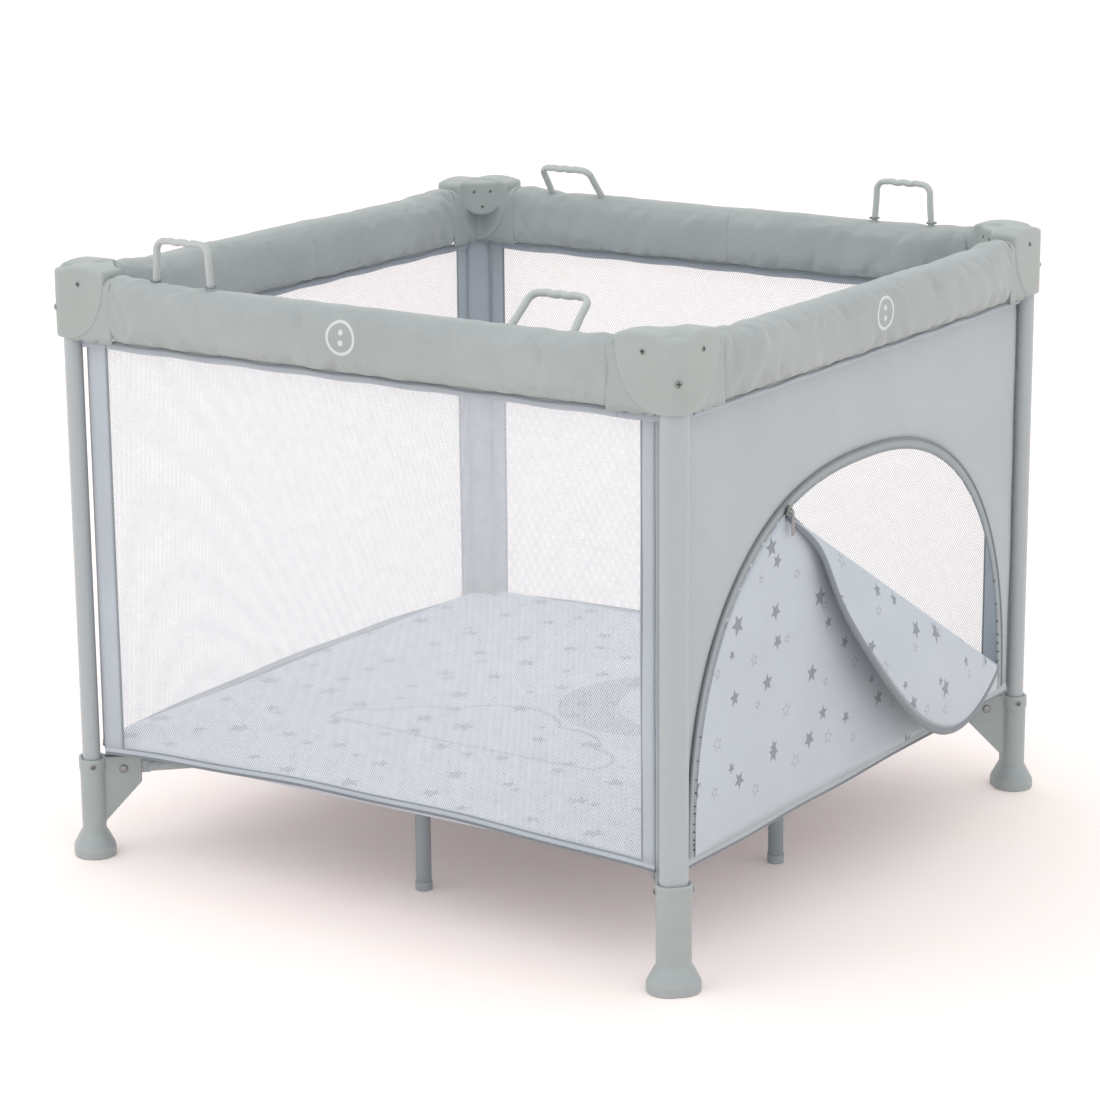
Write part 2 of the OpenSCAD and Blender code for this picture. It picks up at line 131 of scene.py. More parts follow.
class Graph:
    """Short calls that add nodes to one material and return their output sockets."""

    def __init__(self, name):
        self.mat = bpy.data.materials.new(name)
        self.mat.use_nodes = True
        self.tree = self.mat.node_tree
        self.shader = self.tree.nodes["Principled BSDF"]

    def link(self, value, socket):
        if isinstance(value, bpy.types.NodeSocket):
            self.tree.links.new(value, socket)
        elif value is not None:
            socket.default_value = value

    def node(self, kind, inputs=(), output=0, **settings):
        """New node with its settings, inputs by name or number, and one output back."""
        n = self.tree.nodes.new("ShaderNode" + kind)
        for name, value in settings.items():
            setattr(n, name, value)
        for key, value in inputs:
            self.link(value, n.inputs[key])
        return n.outputs[output]

    def m(self, op, a, b=None, c=None):
        return self.node("Math", enumerate((a, b, c)), operation=op)

    def times(self, a, b):
        return self.m("MULTIPLY", a, b)

    def minus(self, a, b):
        return self.m("SUBTRACT", a, b)

    def plus(self, a, b):
        return self.m("ADD", a, b)

    def where(self):
        """Resting place in the piece's own side frame, kept when the piece bends or squashes."""
        return self.node("Attribute", output="Vector", attribute_name="local")

    def place(self):
        return self.node("TexCoord", output="Object")

    def parts(self, v):
        n = self.tree.nodes.new("ShaderNodeSeparateXYZ")
        self.tree.links.new(v, n.inputs[0])
        return n.outputs

    def vector(self, x, y, z=0.0):
        return self.node("CombineXYZ", enumerate((x, y, z)))

    def noise(self, v, scale, detail=3.0):
        return self.node("TexNoise", (("Vector", v), ("Scale", scale), ("Detail", detail),
                                      ("Roughness", 0.55)), "Fac")

    def white(self, v):
        n = self.tree.nodes.new("ShaderNodeTexWhiteNoise")
        n.noise_dimensions = "3D"
        self.tree.links.new(v, n.inputs["Vector"])
        return n.outputs["Value"], n.outputs["Color"]

    def ramp(self, v, lo, hi, out_lo=0.0, out_hi=1.0):
        return self.node("MapRange", (("Value", v), ("From Min", lo), ("From Max", hi),
                                      ("To Min", out_lo), ("To Max", out_hi)))

    def mix(self, fac, a, b):
        return self.node("Mix", ((0, fac), (6, a), (7, b)), 2, data_type="RGBA")

    def bump(self, height, strength, distance, normal=None):
        return self.node("Bump", (("Strength", strength), ("Distance", distance),
                                  ("Height", height), ("Normal", normal)))

    def set(self, **values):
        for name, value in values.items():
            self.link(value, self.shader.inputs[name.replace("_", " ")])


def rgb(r, g, b):
    """A display colour from 0 to 255 as linear RGBA."""
    return tuple(((c / 255 + 0.055) / 1.055) ** 2.4 if c > 10 else c / 3295
                 for c in (r, g, b)) + (1.0,)


def shade(colour, k):
    return tuple(c * k for c in colour[:3]) + (1.0,)


# ---------------------------------------------------------------- materials

THREAD = 0.9 * MM                 # pitch of the woven fabrics


def weave(g, pitch):
    """Height of a plain weave, from 0 to 1, across the surface's two in-plane directions."""
    x, y, z = g.parts(g.where())
    run = g.plus(x, g.times(y, 0.9))
    a = g.m("SINE", g.times(run, 2 * pi / pitch))
    b = g.m("SINE", g.times(g.plus(z, g.times(y, 0.6)),
                        2 * pi / pitch))
    return g.m("MULTIPLY_ADD", g.times(a, b), 0.5, 0.5)


def fabric(name, colour, pitch=THREAD, depth=0.10, spread=0.05, sheen=0.25):
    g = Graph(name)
    place = g.where()
    threads = weave(g, pitch)
    cloud = g.noise(place, 9.0, 4.0)
    fleck = g.noise(place, 900.0, 1.0)
    tone = g.plus(g.ramp(cloud, 0.3, 0.7, -spread, spread),
               g.ramp(fleck, 0.3, 0.7, -spread, spread))
    tone = g.plus(tone, g.ramp(threads, 0, 1, -spread, spread * 0.6))
    fac = g.ramp(tone, -0.15, 0.15)
    g.set(Base_Color=g.mix(fac, shade(colour, 0.84), shade(colour, 1.14)), Roughness=0.85,
          Sheen_Weight=sheen, Sheen_Roughness=0.5, Specular_IOR_Level=0.3,
          Normal=g.bump(threads, depth * 2, 0.4 * MM,
                        g.bump(cloud, 0.25, 2 * MM)))
    return g


def plastic(name, colour, rough=0.42, grain=0.05):
    g = Graph(name)
    place = g.place()
    fine = g.noise(place, 1400.0, 2.0)
    broad = g.noise(place, 14.0, 3.0)
    fac = g.ramp(broad, 0.3, 0.7)
    # painted highlight: the colour turns lighter along sharp convex edges, found by pointiness
    # (painted() materials get it too)
    edge = g.ramp(g.node("NewGeometry", output="Pointiness"), 0.5, 0.58)
    base = g.mix(fac, shade(colour, 0.95), shade(colour, 1.04))
    g.set(Base_Color=g.mix(edge, base, shade(colour, 1.15)),
          Roughness=g.ramp(fine, 0.3, 0.7, rough - 0.05, rough + 0.08),
          Specular_IOR_Level=0.45, Normal=g.bump(fine, grain * 2, 0.1 * MM))
    return g


def painted(name, colour):
    g = plastic(name, colour, rough=0.32, grain=0.03)
    g.set(Coat_Weight=0.15, Coat_Roughness=0.25)
    return g


def metal(name, colour):
    g = Graph(name)
    place = g.place()
    scratch = g.noise(place, 600.0, 3.0)
    g.set(Base_Color=g.mix(g.ramp(scratch, 0.3, 0.7), shade(colour, 0.85), colour),
          Metallic=1.0, Roughness=g.ramp(scratch, 0.3, 0.7, 0.22, 0.42))
    return g


def star(g, u, v, radius, turn_by):
    """Signed size of a star at the origin: above 0 inside, in the units of u and v."""
    angle = g.m("ARCTAN2", v, u)
    angle = g.plus(angle, turn_by)
    r = g.m("SQRT", g.plus(g.times(u, u), g.times(v, v)))
    sector, inner = pi / 5, 0.45
    folded = g.m("PINGPONG", g.plus(angle, 20 * sector), sector)
    x = g.times(r, g.m("COSINE", folded))
    y = g.times(r, g.m("SINE", folded))
    tip = (1.0, 0.0)
    notch = (inner * cos(sector), inner * sin(sector))
    nx, ny = notch[1] - tip[1], tip[0] - notch[0]
    length = math.hypot(nx, ny)
    nx, ny = nx / length, ny / length
    reach = nx * tip[0] + ny * tip[1]
    across = g.plus(g.times(x, nx), g.times(y, ny))
    return g.minus(g.times(radius, reach), across)


def scattered_stars(g, u, v, cell, seed, size, line=None):
    """Mask of one star in each square cell, moved, turned and sized by chance.
    With line, only the star's outline is drawn, that thick."""
    cu, cv = g.m("DIVIDE", u, cell), g.m("DIVIDE", v, cell)
    iu, iv = g.m("FLOOR", cu), g.m("FLOOR", cv)
    value, colour = g.white(g.vector(iu, iv, seed))
    rx, ry, rz = g.parts(colour)
    x = g.times(g.minus(g.minus(cu, iu), g.ramp(rx, 0, 1, 0.3, 0.7)), cell)
    y = g.times(g.minus(g.minus(cv, iv), g.ramp(ry, 0, 1, 0.3, 0.7)), cell)
    radius = g.ramp(rz, 0, 1, size * 0.72, size * 1.2)
    inside = star(g, x, y, radius, g.times(value, 6.28))
    if line is None:
        return g.ramp(inside, -0.2 * MM, 0.2 * MM)
    return g.times(g.ramp(inside, -0.2 * MM, 0.2 * MM),
               g.ramp(inside, line + 0.2 * MM, line - 0.2 * MM))


def printed(name, colour, ink, extra=None, down="z", big=1.0):
    """Pale fabric with scattered solid and outlined stars, and an extra print if given."""
    g = fabric(name, colour, depth=0.06, spread=0.03, sheen=0.15)
    parts = dict(zip("xyz", g.parts(g.where())))
    u, v = parts["x"], parts[down]
    mask = scattered_stars(g, u, v, 92 * MM, 1.0, big * 10.5 * MM)
    mask = g.m("MAXIMUM", mask, scattered_stars(g, g.plus(u, 31 * MM),
               g.plus(v, 47 * MM), 118 * MM, 4.0, big * 7.5 * MM))
    faint = scattered_stars(g, g.plus(u, 60 * MM), v, 84 * MM, 7.0, 9 * MM, 1.1 * MM)
    base = g.shader.inputs["Base Color"].links[0].from_socket
    mixed = g.mix(g.times(mask, 0.62), base, ink)
    mixed = g.mix(g.times(faint, 0.45), mixed, ink)
    if extra is not None:
        mixed = extra(g, u, v, mixed)
    g.set(Base_Color=mixed)
    return g


def disc(g, u, v, cx, cy, r):
    du, dv = g.minus(u, cx), g.minus(v, cy)
    d = g.m("SQRT", g.plus(g.times(du, du), g.times(dv, dv)))
    return g.minus(r, d)


def moon_and_cloud(g, u, v, base):
    """A plain crescent moon over a cloud, printed faintly on the mat."""
    soft = 0.8 * MM
    moon = g.m("MINIMUM", disc(g, u, v, 0.11, 0.06, 0.135),
               g.times(disc(g, u, v, 0.17, 0.10, 0.125), -1.0))
    puffs = [(-0.12, -0.17, 0.07), (-0.03, -0.13, 0.09), (0.07, -0.16, 0.075),
             (0.14, -0.19, 0.05), (-0.19, -0.20, 0.045)]
    cloud = None
    for x, y, r in puffs:
        d = disc(g, u, v, x, y, r)
        cloud = d if cloud is None else g.m("MAXIMUM", cloud, d)
    cloud = g.m("MINIMUM", cloud, g.plus(v, 0.215))
    rim = g.minus(3.0 * MM, g.m("ABSOLUTE", cloud))
    grey = rgb(128, 135, 150)
    stripes = g.m("SINE", g.times(g.plus(u, v), 900.0))
    fill = g.times(g.ramp(moon, -soft, soft), g.ramp(stripes, -0.3, 0.3, 0.4, 0.75))
    out = g.mix(fill, base, grey)
    return g.mix(g.times(g.ramp(rim, -soft, soft), 0.8), out, grey)


def cover_material():
    """Grey woven cover with a pale printed ring in the middle of its outer face."""
    g = fabric("cover_fabric", rgb(161, 168, 168), spread=0.06)
    x, y, z = g.parts(g.where())
    middle = COVER_BASE + 0.56 * (COVER_TOP - COVER_BASE)
    dz = g.minus(z, middle)
    r = g.m("SQRT", g.plus(g.times(x, x), g.times(dz, dz)))
    ring = g.minus(1.8 * MM, g.m("ABSOLUTE", g.minus(r, 19.5 * MM)))
    # a plain dot above and below the middle, inside the ring
    dots = None
    for up in (-1, 1):
        d = g.minus(3.6 * MM, g.m("SQRT", g.plus(g.times(x, x), g.m(
            "POWER", g.minus(dz, up * 6.5 * MM), 2.0))))
        dots = d if dots is None else g.m("MAXIMUM", dots, d)
    inked = g.ramp(g.m("MAXIMUM", ring, dots), -0.2 * MM, 0.2 * MM)
    outside = g.ramp(y, -COVER_W / 2 * 0.6, -COVER_W / 2 * 0.7)
    base = g.shader.inputs["Base Color"].links[0].from_socket
    g.set(Base_Color=g.mix(g.times(inked, g.times(outside, 0.75)), base,
                           rgb(214, 220, 221)))
    return g


NET = 3.4 * MM                    # pitch of the wall netting


def net_material():
    """White netting: staggered round holes in a fine knit."""
    g = Graph("net_fabric")
    x, _, z = g.parts(g.where())
    k = pi / NET
    a = g.m("COSINE", g.times(g.plus(x, g.times(z, 0.62)), k * 2))
    b = g.m("COSINE", g.times(g.minus(x, g.times(z, 0.62)), k * 2))
    hole = g.plus(a, b)
    thread = g.ramp(hole, 0.9, -0.1)
    cloud = g.noise(g.where(), 60.0, 2.0)
    g.set(Base_Color=g.mix(g.ramp(cloud, 0.3, 0.7), rgb(216, 221, 227), rgb(228, 232, 237)),
          Roughness=0.8, Sheen_Weight=0.2, Alpha=g.ramp(thread, 0, 1, 0.08, 0.68))
    return g


M = {
    "post": painted("post_paint", rgb(156, 162, 165)),
    "corner": plastic("corner_plastic", rgb(159, 167, 165)),
    "foot": plastic("foot_plastic", rgb(156, 164, 164)),
    "base": painted("base_paint", rgb(150, 158, 160)),
    "hinge": plastic("hinge_plastic", rgb(128, 135, 138)),
    "leg": plastic("leg_plastic", rgb(140, 148, 151)),
    "rail": painted("rail_paint", rgb(190, 194, 196)),
    "lock": plastic("lock_plastic", rgb(120, 126, 128)),
    "handle": plastic("handle_plastic", rgb(174, 180, 179), rough=0.38),
    "cover": cover_material(),
    "panel": fabric("panel_fabric", rgb(172, 179, 183), depth=0.07, spread=0.035),
    "border": fabric("border_fabric", rgb(176, 184, 192), depth=0.08),
    "binding": fabric("binding_fabric", rgb(140, 148, 152), pitch=1.4 * MM, depth=0.2),
    "piping": fabric("piping_fabric", rgb(122, 130, 136), pitch=1.6 * MM, depth=0.25),
    "tape": fabric("tape_fabric", rgb(150, 158, 162), pitch=1.1 * MM, depth=0.15),
    "teeth": plastic("zip_teeth", rgb(132, 139, 143), rough=0.35),
    "net": net_material(),
    "mat": printed("mat_fabric", rgb(188, 194, 206), rgb(66, 74, 90), moon_and_cloud,
                   down="y", big=1.5),
    "flap": printed("flap_fabric", rgb(184, 192, 200), rgb(90, 98, 106), big=1.25),
    "steel": metal("steel", rgb(150, 152, 150)),
    # dark cross in the screw heads: painted shade standing for the shaded cross recess
    "dark": plastic("screw_slot_shade", rgb(60, 62, 64)),
}


# ---------------------------------------------------------------- mesh helpers

def put(name, data):
    """New object in the scene."""
    obj = bpy.data.objects.new(name, data)
    bpy.context.scene.collection.objects.link(obj)
    return obj


def modify(obj, kind, **settings):
    """Adds a modifier with its settings, and applies all the object has."""
    mod = obj.modifiers.new(kind.lower(), kind)
    for name, value in settings.items():
        setattr(mod, name, value)
    return apply_modifiers(obj)


def reworked(mesh, work):
    """Runs work on a mesh as a bmesh."""
    b = bmesh.new()
    b.from_mesh(mesh)
    work(b)
    b.to_mesh(mesh)
    b.free()


def shade_smooth(mesh):
    mesh.polygons.foreach_set("use_smooth", [True] * len(mesh.polygons))


def add_piece(name, verts, faces, material, place=None, smooth=True):
    """A mesh from points in a local frame. The local points are kept for the materials."""
    mesh = bpy.data.meshes.new(name)
    mesh.from_pydata([tuple(v) for v in verts], [], faces)
    mesh.validate()
    obj = put(name, mesh)
    if material is not None:
        mesh.materials.append(M[material].mat)
    keep_local(obj)
    if place is not None:
        mesh.transform(place)
    if smooth:
        shade_smooth(mesh)
        mesh.set_sharp_from_angle(angle=radians(55))
    return obj


def keep_local(obj):
    co = np.zeros(len(obj.data.vertices) * 3, np.float32)
    obj.data.vertices.foreach_get("co", co)
    old = obj.data.attributes.get("local")
    attribute = old or obj.data.attributes.new("local", "FLOAT_VECTOR", "POINT")
    attribute.data.foreach_set("vector", co)


def apply_modifiers(obj):
    dg = bpy.context.evaluated_depsgraph_get()
    mesh = bpy.data.meshes.new_from_object(obj.evaluated_get(dg))
    obj.modifiers.clear()
    obj.data = mesh
    return obj


def outward(obj):
    """Turns every face of a closed mesh outward."""
    reworked(obj.data, lambda b: bmesh.ops.recalc_face_normals(b, faces=b.faces))
    return obj


def grid_faces(rows, cols, wrap=False):
    """Faces of a grid of rows x cols points, closed across the columns with wrap."""
    out = []
    for r in range(rows - 1):
        for c in range(cols if wrap else cols - 1):
            d = (c + 1) % cols
            out.append((r * cols + c, r * cols + d, (r + 1) * cols + d, (r + 1) * cols + c))
    return out


def tube(name, path, ring, material, place=None, closed=False, up=Vector((0, 1, 0))):
    """Sweeps a ring of (side, up) points along a path, with end caps.
    ring may be a function of the share along the path."""
    n = len(path)
    verts = []
    for k, p in enumerate(path):
        p = Vector(p)
        a = Vector(path[(k - 1) % n] if closed or k else path[k])
        b = Vector(path[(k + 1) % n] if closed or k < n - 1 else path[k])
        along = (b - a).normalized()
        left = up.cross(along).normalized()
        over = along.cross(left)
        points = ring(k / (n - 1)) if callable(ring) else ring
        verts += [p + left * s + over * t for s, t in points]
    m = len(verts) // n
    faces = grid_faces(n, m, wrap=True)
    if closed:
        faces += [((n - 1) * m + c, (n - 1) * m + (c + 1) % m, (c + 1) % m, c)
                  for c in range(m)]
    else:
        faces += [tuple(range(m - 1, -1, -1)), tuple((n - 1) * m + c for c in range(m))]
    return outward(add_piece(name, verts, faces, material, place))


def round_ring(rx, ry, n=12):
    return [(rx * cos(2 * pi * k / n), ry * sin(2 * pi * k / n))
            for k in range(n)]


def flat_ring(w, t):
    """Flat band with rounded edges."""
    r = t / 2
    out = []
    for sx, start in ((1, -90), (-1, 90)):
        for k in range(5):
            a = radians(start + 45 * k)
            out.append((sx * (w / 2 - r) + r * cos(a), t / 2 * sin(a)))
    return out


def solid_sheet(name, top, rows, cols, thick, material, place=None):
    """Closed sheet from a grid of points, thickened to both sides along its normals."""
    obj = add_piece(name, top, grid_faces(rows, cols), material, place)
    return outward(modify(obj, "SOLIDIFY", thickness=thick, offset=0))


def ride_slot(obj, body, slot_name, *nodes):
    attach(obj, body)
    if nodes:
        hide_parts(*nodes)
    return obj


def squash_side(obj):
    """Gives a fabric piece a mesh of its own."""
    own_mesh(obj)
    return obj


def trim(name, path, ring, material, i, slot_name):
    """Piping, binding or tape swept along the fabric of side i."""
    return finish_fabric(tube(name, path, ring, material, side_matrix(i)), i, slot_name)


# ---------------------------------------------------------------- rail covers

def cover_section():
    """Upright section of a padded cover as (out, up) shares: round above, drawn in at the hem."""
    out, n = [], 44
    for k in range(n):
        a = 2 * pi * k / n
        c, s = cos(a), sin(a)
        across, up = (0.62, 0.60) if s > 0 else (0.42, 0.50)
        x = math.copysign(abs(c) ** across, c)
        z = math.copysign(abs(s) ** up, s)
        out.append((x * (1 - 0.30 * max(0.0, -z) ** 3), z))
    return out


def cover_width(x):
    """Half width of a cover: full along the rail, slimmer where it runs into the caps."""
    end = min(1.0, max(0.0, (abs(x) - COVER_END + 80 * MM) / (80 * MM)))
    return COVER_W / 2 * (0.96 - 0.17 * end * end * (3 - 2 * end))


def cover_mesh(name, i, x0, x1):
    """Padded sleeve over a rail with soft diagonal creases near its ends."""
    section = cover_section()
    cols, step = len(section), 5 * MM
    rows = max(int((x1 - x0) / step), 8)
    mid_z = (COVER_TOP + COVER_BASE) / 2
    half_h = (COVER_TOP - COVER_BASE) / 2
    verts = []
    for r in range(rows + 1):
        x = x0 + (x1 - x0) * r / rows
        end = min(1.0, (COVER_END - abs(x)) / (110 * MM))
        half_w = cover_width(x)
        for s, t in section:
            y, z = s * half_w, mid_z + t * half_h
            slant = x + math.copysign(1, x) * (z - mid_z) * (0.9 + 0.5 * sin(9 * x + i))
            fold = sin(slant * 2 * pi / (38 * MM) + 5 * i) ** 3
            crease = fold * ((1.0 - end) * 3.2 + 0.35) * MM
            puff = 2.6 * MM * noise.noise(Vector((x * 11, z * 20 + 7 * i, y * 14)))
            pull = 1.8 * MM * noise.noise(Vector((x * 38 + z * 22, z * 9, 3 + i)))
            grow = crease + puff + pull - 1.2 * MM
            y += math.copysign(grow, y) if abs(s) > 0.6 else 0
            z += (grow * 0.6 - 2.0 * MM * (1 - end)) if t > 0.6 else 0
            verts.append((x, y, z))
    faces = grid_faces(rows + 1, cols, wrap=True)
    faces += [tuple(range(cols - 1, -1, -1)), tuple(rows * cols + c for c in range(cols))]
    return outward(add_piece(name, verts, faces, "cover", side_matrix(i)))


def inflate(obj, place, held, limit):
    """Puffs and wrinkles padded fabric by simulation. held(x, y, z) tells what stays in
    place, and limit(x) how far the rest may move."""
    modify(obj, "REMESH", mode="VOXEL", voxel_size=5 * MM, use_smooth_shade=True)
    back = place.inverted()
    rest = [back @ v.co for v in obj.data.vertices]
    group = obj.vertex_groups.new(name="held")
    group.add([k for k, p in enumerate(rest) if held(p.x, p.y, p.z)], 1.0, "REPLACE")
    cloth = obj.modifiers.new("cloth", "CLOTH")
    st = cloth.settings
    st.quality, st.mass, st.vertex_group_mass = 5, 0.25, "held"
    st.tension_stiffness = st.compression_stiffness = 12
    st.shear_stiffness, st.bending_stiffness = 6, 0.15
    st.use_pressure, st.uniform_pressure_force = True, 4.0
    st.shrink_min = -0.035
    st.effector_weights.gravity = 0.0
    cloth.point_cache.frame_start, cloth.point_cache.frame_end = 1, 20
    scene = bpy.context.scene
    for frame_number in range(1, 21):
        scene.frame_set(frame_number)
    apply_modifiers(obj)
    scene.frame_set(1)
    for v, p in zip(obj.data.vertices, rest):
        move = back @ v.co - p
        if move.length > limit(p.x):
            v.co = place @ (p + move * (limit(p.x) / move.length))
    modify(obj, "SUBSURF", levels=1, render_levels=1)
    obj.vertex_groups.clear()
    if not obj.data.materials:
        obj.data.materials.append(M["cover"].mat)
    obj.data.transform(back)
    keep_local(obj)
    obj.data.transform(place)
    shade_smooth(obj.data)
    return obj


def hem_path(x0, x1, y, z, i):
    n = max(int((x1 - x0) / (10 * MM)), 6)
    out = []
    for k in range(n + 1):
        x = x0 + (x1 - x0) * k / n
        out.append((x, y(x) if callable(y) else y, z + 0.7 * MM * sin(x * 61 + i)))
    return out


def hem_pieces(tag, i, x0, x1, width):
    """Dark piping along both lower edges of a cover and the pale band of fabric under it."""
    place = side_matrix(i)
    out = []
    for s, word in ((-1, "outer"), (1, "inner")):
        path = hem_path(x0, x1, lambda x, s=s: s * (width(x) * 0.70 + 0.4 * MM),
                        COVER_BASE + 2.6 * MM, i)
        out.append(tube(f"{tag}_{word}_piping", path, round_ring(1.7 * MM, 1.7 * MM, 10),
                        "piping", place))
    path = hem_path(x0, x1, 0.0, COVER_BASE - 4.0 * MM, i)
    out.append(tube(f"{tag}_under_band", path, flat_ring(11 * MM, 3.4 * MM), "border", place))
    return out


TUCK = 16.2 * MM                  # half width of a cover's end inside the cap


def tuck_mesh(name, i, s):
    """End of a cover where it runs under the cap to the post, open below for the rail."""
    rows, low = 16, COVER_BASE + 1.5 * MM
    start, stop = COVER_END - 4 * MM, HALF - TUCK
    verts = []
    for r in range(rows):
        x = start + (stop - start) * r / (rows - 1)
        t = min(1.0, (x - start) / (24 * MM))
        t = t * t * (3 - 2 * t)
        half_w = (cover_width(COVER_END) - 1.1 * MM) * (1 - t) + TUCK * t
        top = COVER_TOP - 4.5 * MM - 3.5 * MM * t
        profile = [(-half_w, low + (top - 12 * MM - low) * k / 6) for k in range(6)]
        for k in range(13):
            a = pi - pi * k / 12
            profile.append((half_w * math.copysign(abs(cos(a)) ** 0.6, cos(a)),
                            top - 12 * MM + 12 * MM * sin(a)))
        profile += [(half_w, low + (top - 12 * MM - low) * k / 6) for k in range(5, -1, -1)]
        for y, z in profile:
            grow = 0.7 * MM * sin((x + 0.6 * z) * 2 * pi / (26 * MM) + i) - 0.7 * MM
            verts.append((s * x, y + math.copysign(grow * t, y), z))
    return solid_sheet(name, verts, rows, len(profile), 1.4 * MM, "cover", side_matrix(i))


def handle_slits(i):
    """Stitched slits in a cover that the handle legs come through."""
    for e, word in ((-1, "outer"), (1, "inner")):
        x = -HANDLE_OFF + e * (HANDLE_HALF - 4.6 * MM)
        place = side_matrix(i) @ Matrix.Translation((x, 0, COVER_TOP - 2.6 * MM))
        loop = [(6.4 * MM * cos(a), 7.4 * MM * sin(a), 0)
                for a in (2 * pi * k / 24 for k in range(24))]
        piece = tube(f"{SIDES[i]}_{word}_slit", loop, round_ring(0.9 * MM, 0.9 * MM, 8),
                     "piping", place, closed=True, up=Vector((0, 0, 1)))
        ride_slot(piece, f"{SIDES[i]}_rail_a", "cover_fabric")


def halved(obj, i):
    """The cover cut through its middle into two closed halves, for a rail that parts there."""
    place = side_matrix(i)
    out = []
    for s, half in ((-1, "a"), (1, "b")):
        mesh = obj.data.copy()

        def cut_away(b):
            cut = bmesh.ops.bisect_plane(
                b, geom=b.verts[:] + b.edges[:] + b.faces[:], clear_inner=True,
                plane_co=place @ Vector((s * 0.2 * MM, 0, 0)),
                plane_no=place.to_3x3() @ Vector((s, 0, 0)))["geom_cut"]
            bmesh.ops.holes_fill(b, edges=[g for g in cut
                                           if isinstance(g, bmesh.types.BMEdge)])

        reworked(mesh, cut_away)
        piece = put(f"{obj.name}_{half}", mesh)
        mesh.transform(place.inverted())
        keep_local(piece)
        mesh.transform(place)
        out.append(outward(piece))
    bpy.data.objects.remove(obj)
    return out


def end_limit(x):
    """How far simulated fabric may move, fading out where a cover runs into the caps."""
    t = min(1.0, max(0.0, (COVER_END - abs(x)) / (70 * MM)))
    return 5 * MM * t * t * (3 - 2 * t) + 0.2 * MM


def make_covers():
    for i, side in enumerate(SIDES):
        place = side_matrix(i)
        body = cover_mesh(f"{side}_rail_cover", i, -COVER_END, COVER_END)
        inflate(body, place, lambda x, y, z: (abs(x) > COVER_END - 5 * MM
                                              or z < COVER_BASE + 7 * MM), end_limit)
        covers = [(body, side, -COVER_END, COVER_END, (f"{side}_rail_a", f"{side}_rail_b"))]
        if side == "back":                       # this rail's halves share no joint
            a, b = halved(body, i)
            covers = [(a, "back_a", -COVER_END, -0.2 * MM, ("back_rail_a",)),
                      (b, "back_b", 0.2 * MM, COVER_END, ("back_rail_b",))]
        for body, tag, x0, x1, ride_on in covers:
            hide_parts(f"{side}_cover")
            for piece in [body] + hem_pieces(f"{tag}_cover", i, x0, x1, cover_width):
                if len(ride_on) == 1:
                    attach(piece, ride_on[0])
                else:
                    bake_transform(piece)
        for s, word, corner in ((-1, "first", i), (1, "last", (i + 1) % 4)):
            tag = f"{side}_{word}_tuck"
            tuck = [tuck_mesh(tag, i, s)]
            x0, x1 = sorted((s * (COVER_END + 0.3 * MM), s * (HALF - TUCK)))
            tuck += hem_pieces(tag, i, x0, x1, lambda x: TUCK / 0.74)
            for piece in tuck:
                ride_slot(piece, f"{CORNERS[corner]}_corner", "cover_fabric")
        if i % 2 == 0:
            handle_slits(i)


# ---------------------------------------------------------------- walls

HEM = 13 * MM                     # height of the door side's bottom hem
NET_HEM = 7 * MM                  # height of a net wall's bottom hem
DRAWN_UP = 13 * MM                # how far a net wall's foot is drawn up in its middle
NET_END = [(-393, 405), (0, 0), (-400, 400), (-400, 400)]   # net's ends on each side, mm


def wave(x, z, i):
    return 1.3 * MM * noise.noise(Vector((x * 6, z * 5, 11 * i)))


def drawn(x, z, i):
    """Height of a wall point with the net walls' foot drawn up in its middle."""
    if i == 1:
        return z
    across = 1 - (x / (HALF - WALL_IN)) ** 2
    return z + DRAWN_UP * across * (WALL_TOP - z) / (WALL_TOP - WALL_BASE)


def sheet_grid(x0, x1, z0, z1, i, cols=None, rows=None):
    cols = cols or max(int((x1 - x0) / (22 * MM)), 2) + 1
    rows = rows or max(int((z1 - z0) / (25 * MM)), 2) + 1
    pts = []
    for r in range(rows):
        z = z0 + (z1 - z0) * r / (rows - 1)
        for c in range(cols):
            x = x0 + (x1 - x0) * c / (cols - 1)
            pts.append((x, wave(x, z, i), drawn(x, z, i)))
    return pts, rows, cols


def finish_fabric(obj, i, slot_name, *nodes):
    ride_slot(obj, f"{CORNERS[i]}_corner", slot_name, *nodes)
    return squash_side(obj)


def corner_strip(i, slot_name):
    """Border fabric that runs across the corner, inside the post."""
    e = HALF - WALL_IN
    a, b = Vector((e, 0, 0)), Vector((HALF, WALL_IN, 0))
    pts, rows, cols = [], 24, 6
    for r in range(rows):
        z = WALL_BASE + (WALL_TOP - WALL_BASE) * r / (rows - 1)
        for c in range(cols):
            p = a.lerp(b, 0.02 + 0.96 * c / (cols - 1))
            pts.append((p.x, p.y, z))
    obj = solid_sheet(f"{SIDES[i]}_corner_strip", pts, rows, cols, 1.2 * MM, "border",
                      side_matrix(i))
    return finish_fabric(obj, i, slot_name)


def bottom_hem(i):
    """Folded hem along the wall's foot with a rounded binding under it."""
    e = HALF - WALL_IN
    high = HEM if i == 1 else NET_HEM
    path = [(x, wave(x, WALL_BASE, i), drawn(x, WALL_BASE + high / 2, i)
             + 0.8 * MM * sin(0.35 * k + i))
            for k, x in enumerate(-e + 2 * e * k / 60 for k in range(61))]
    slot_name = "mesh_fabric" if i != 1 else "panel_fabric"
    trim(f"{SIDES[i]}_hem", path, flat_ring(high, 3.6 * MM),
         "border" if i != 1 else "panel", i, slot_name)
    low = [(x, y, z - high / 2 - 0.4 * MM) for x, y, z in path]
    trim(f"{SIDES[i]}_hem_piping", low, round_ring(2.6 * MM, 2.3 * MM, 10), "piping", i,
         slot_name)


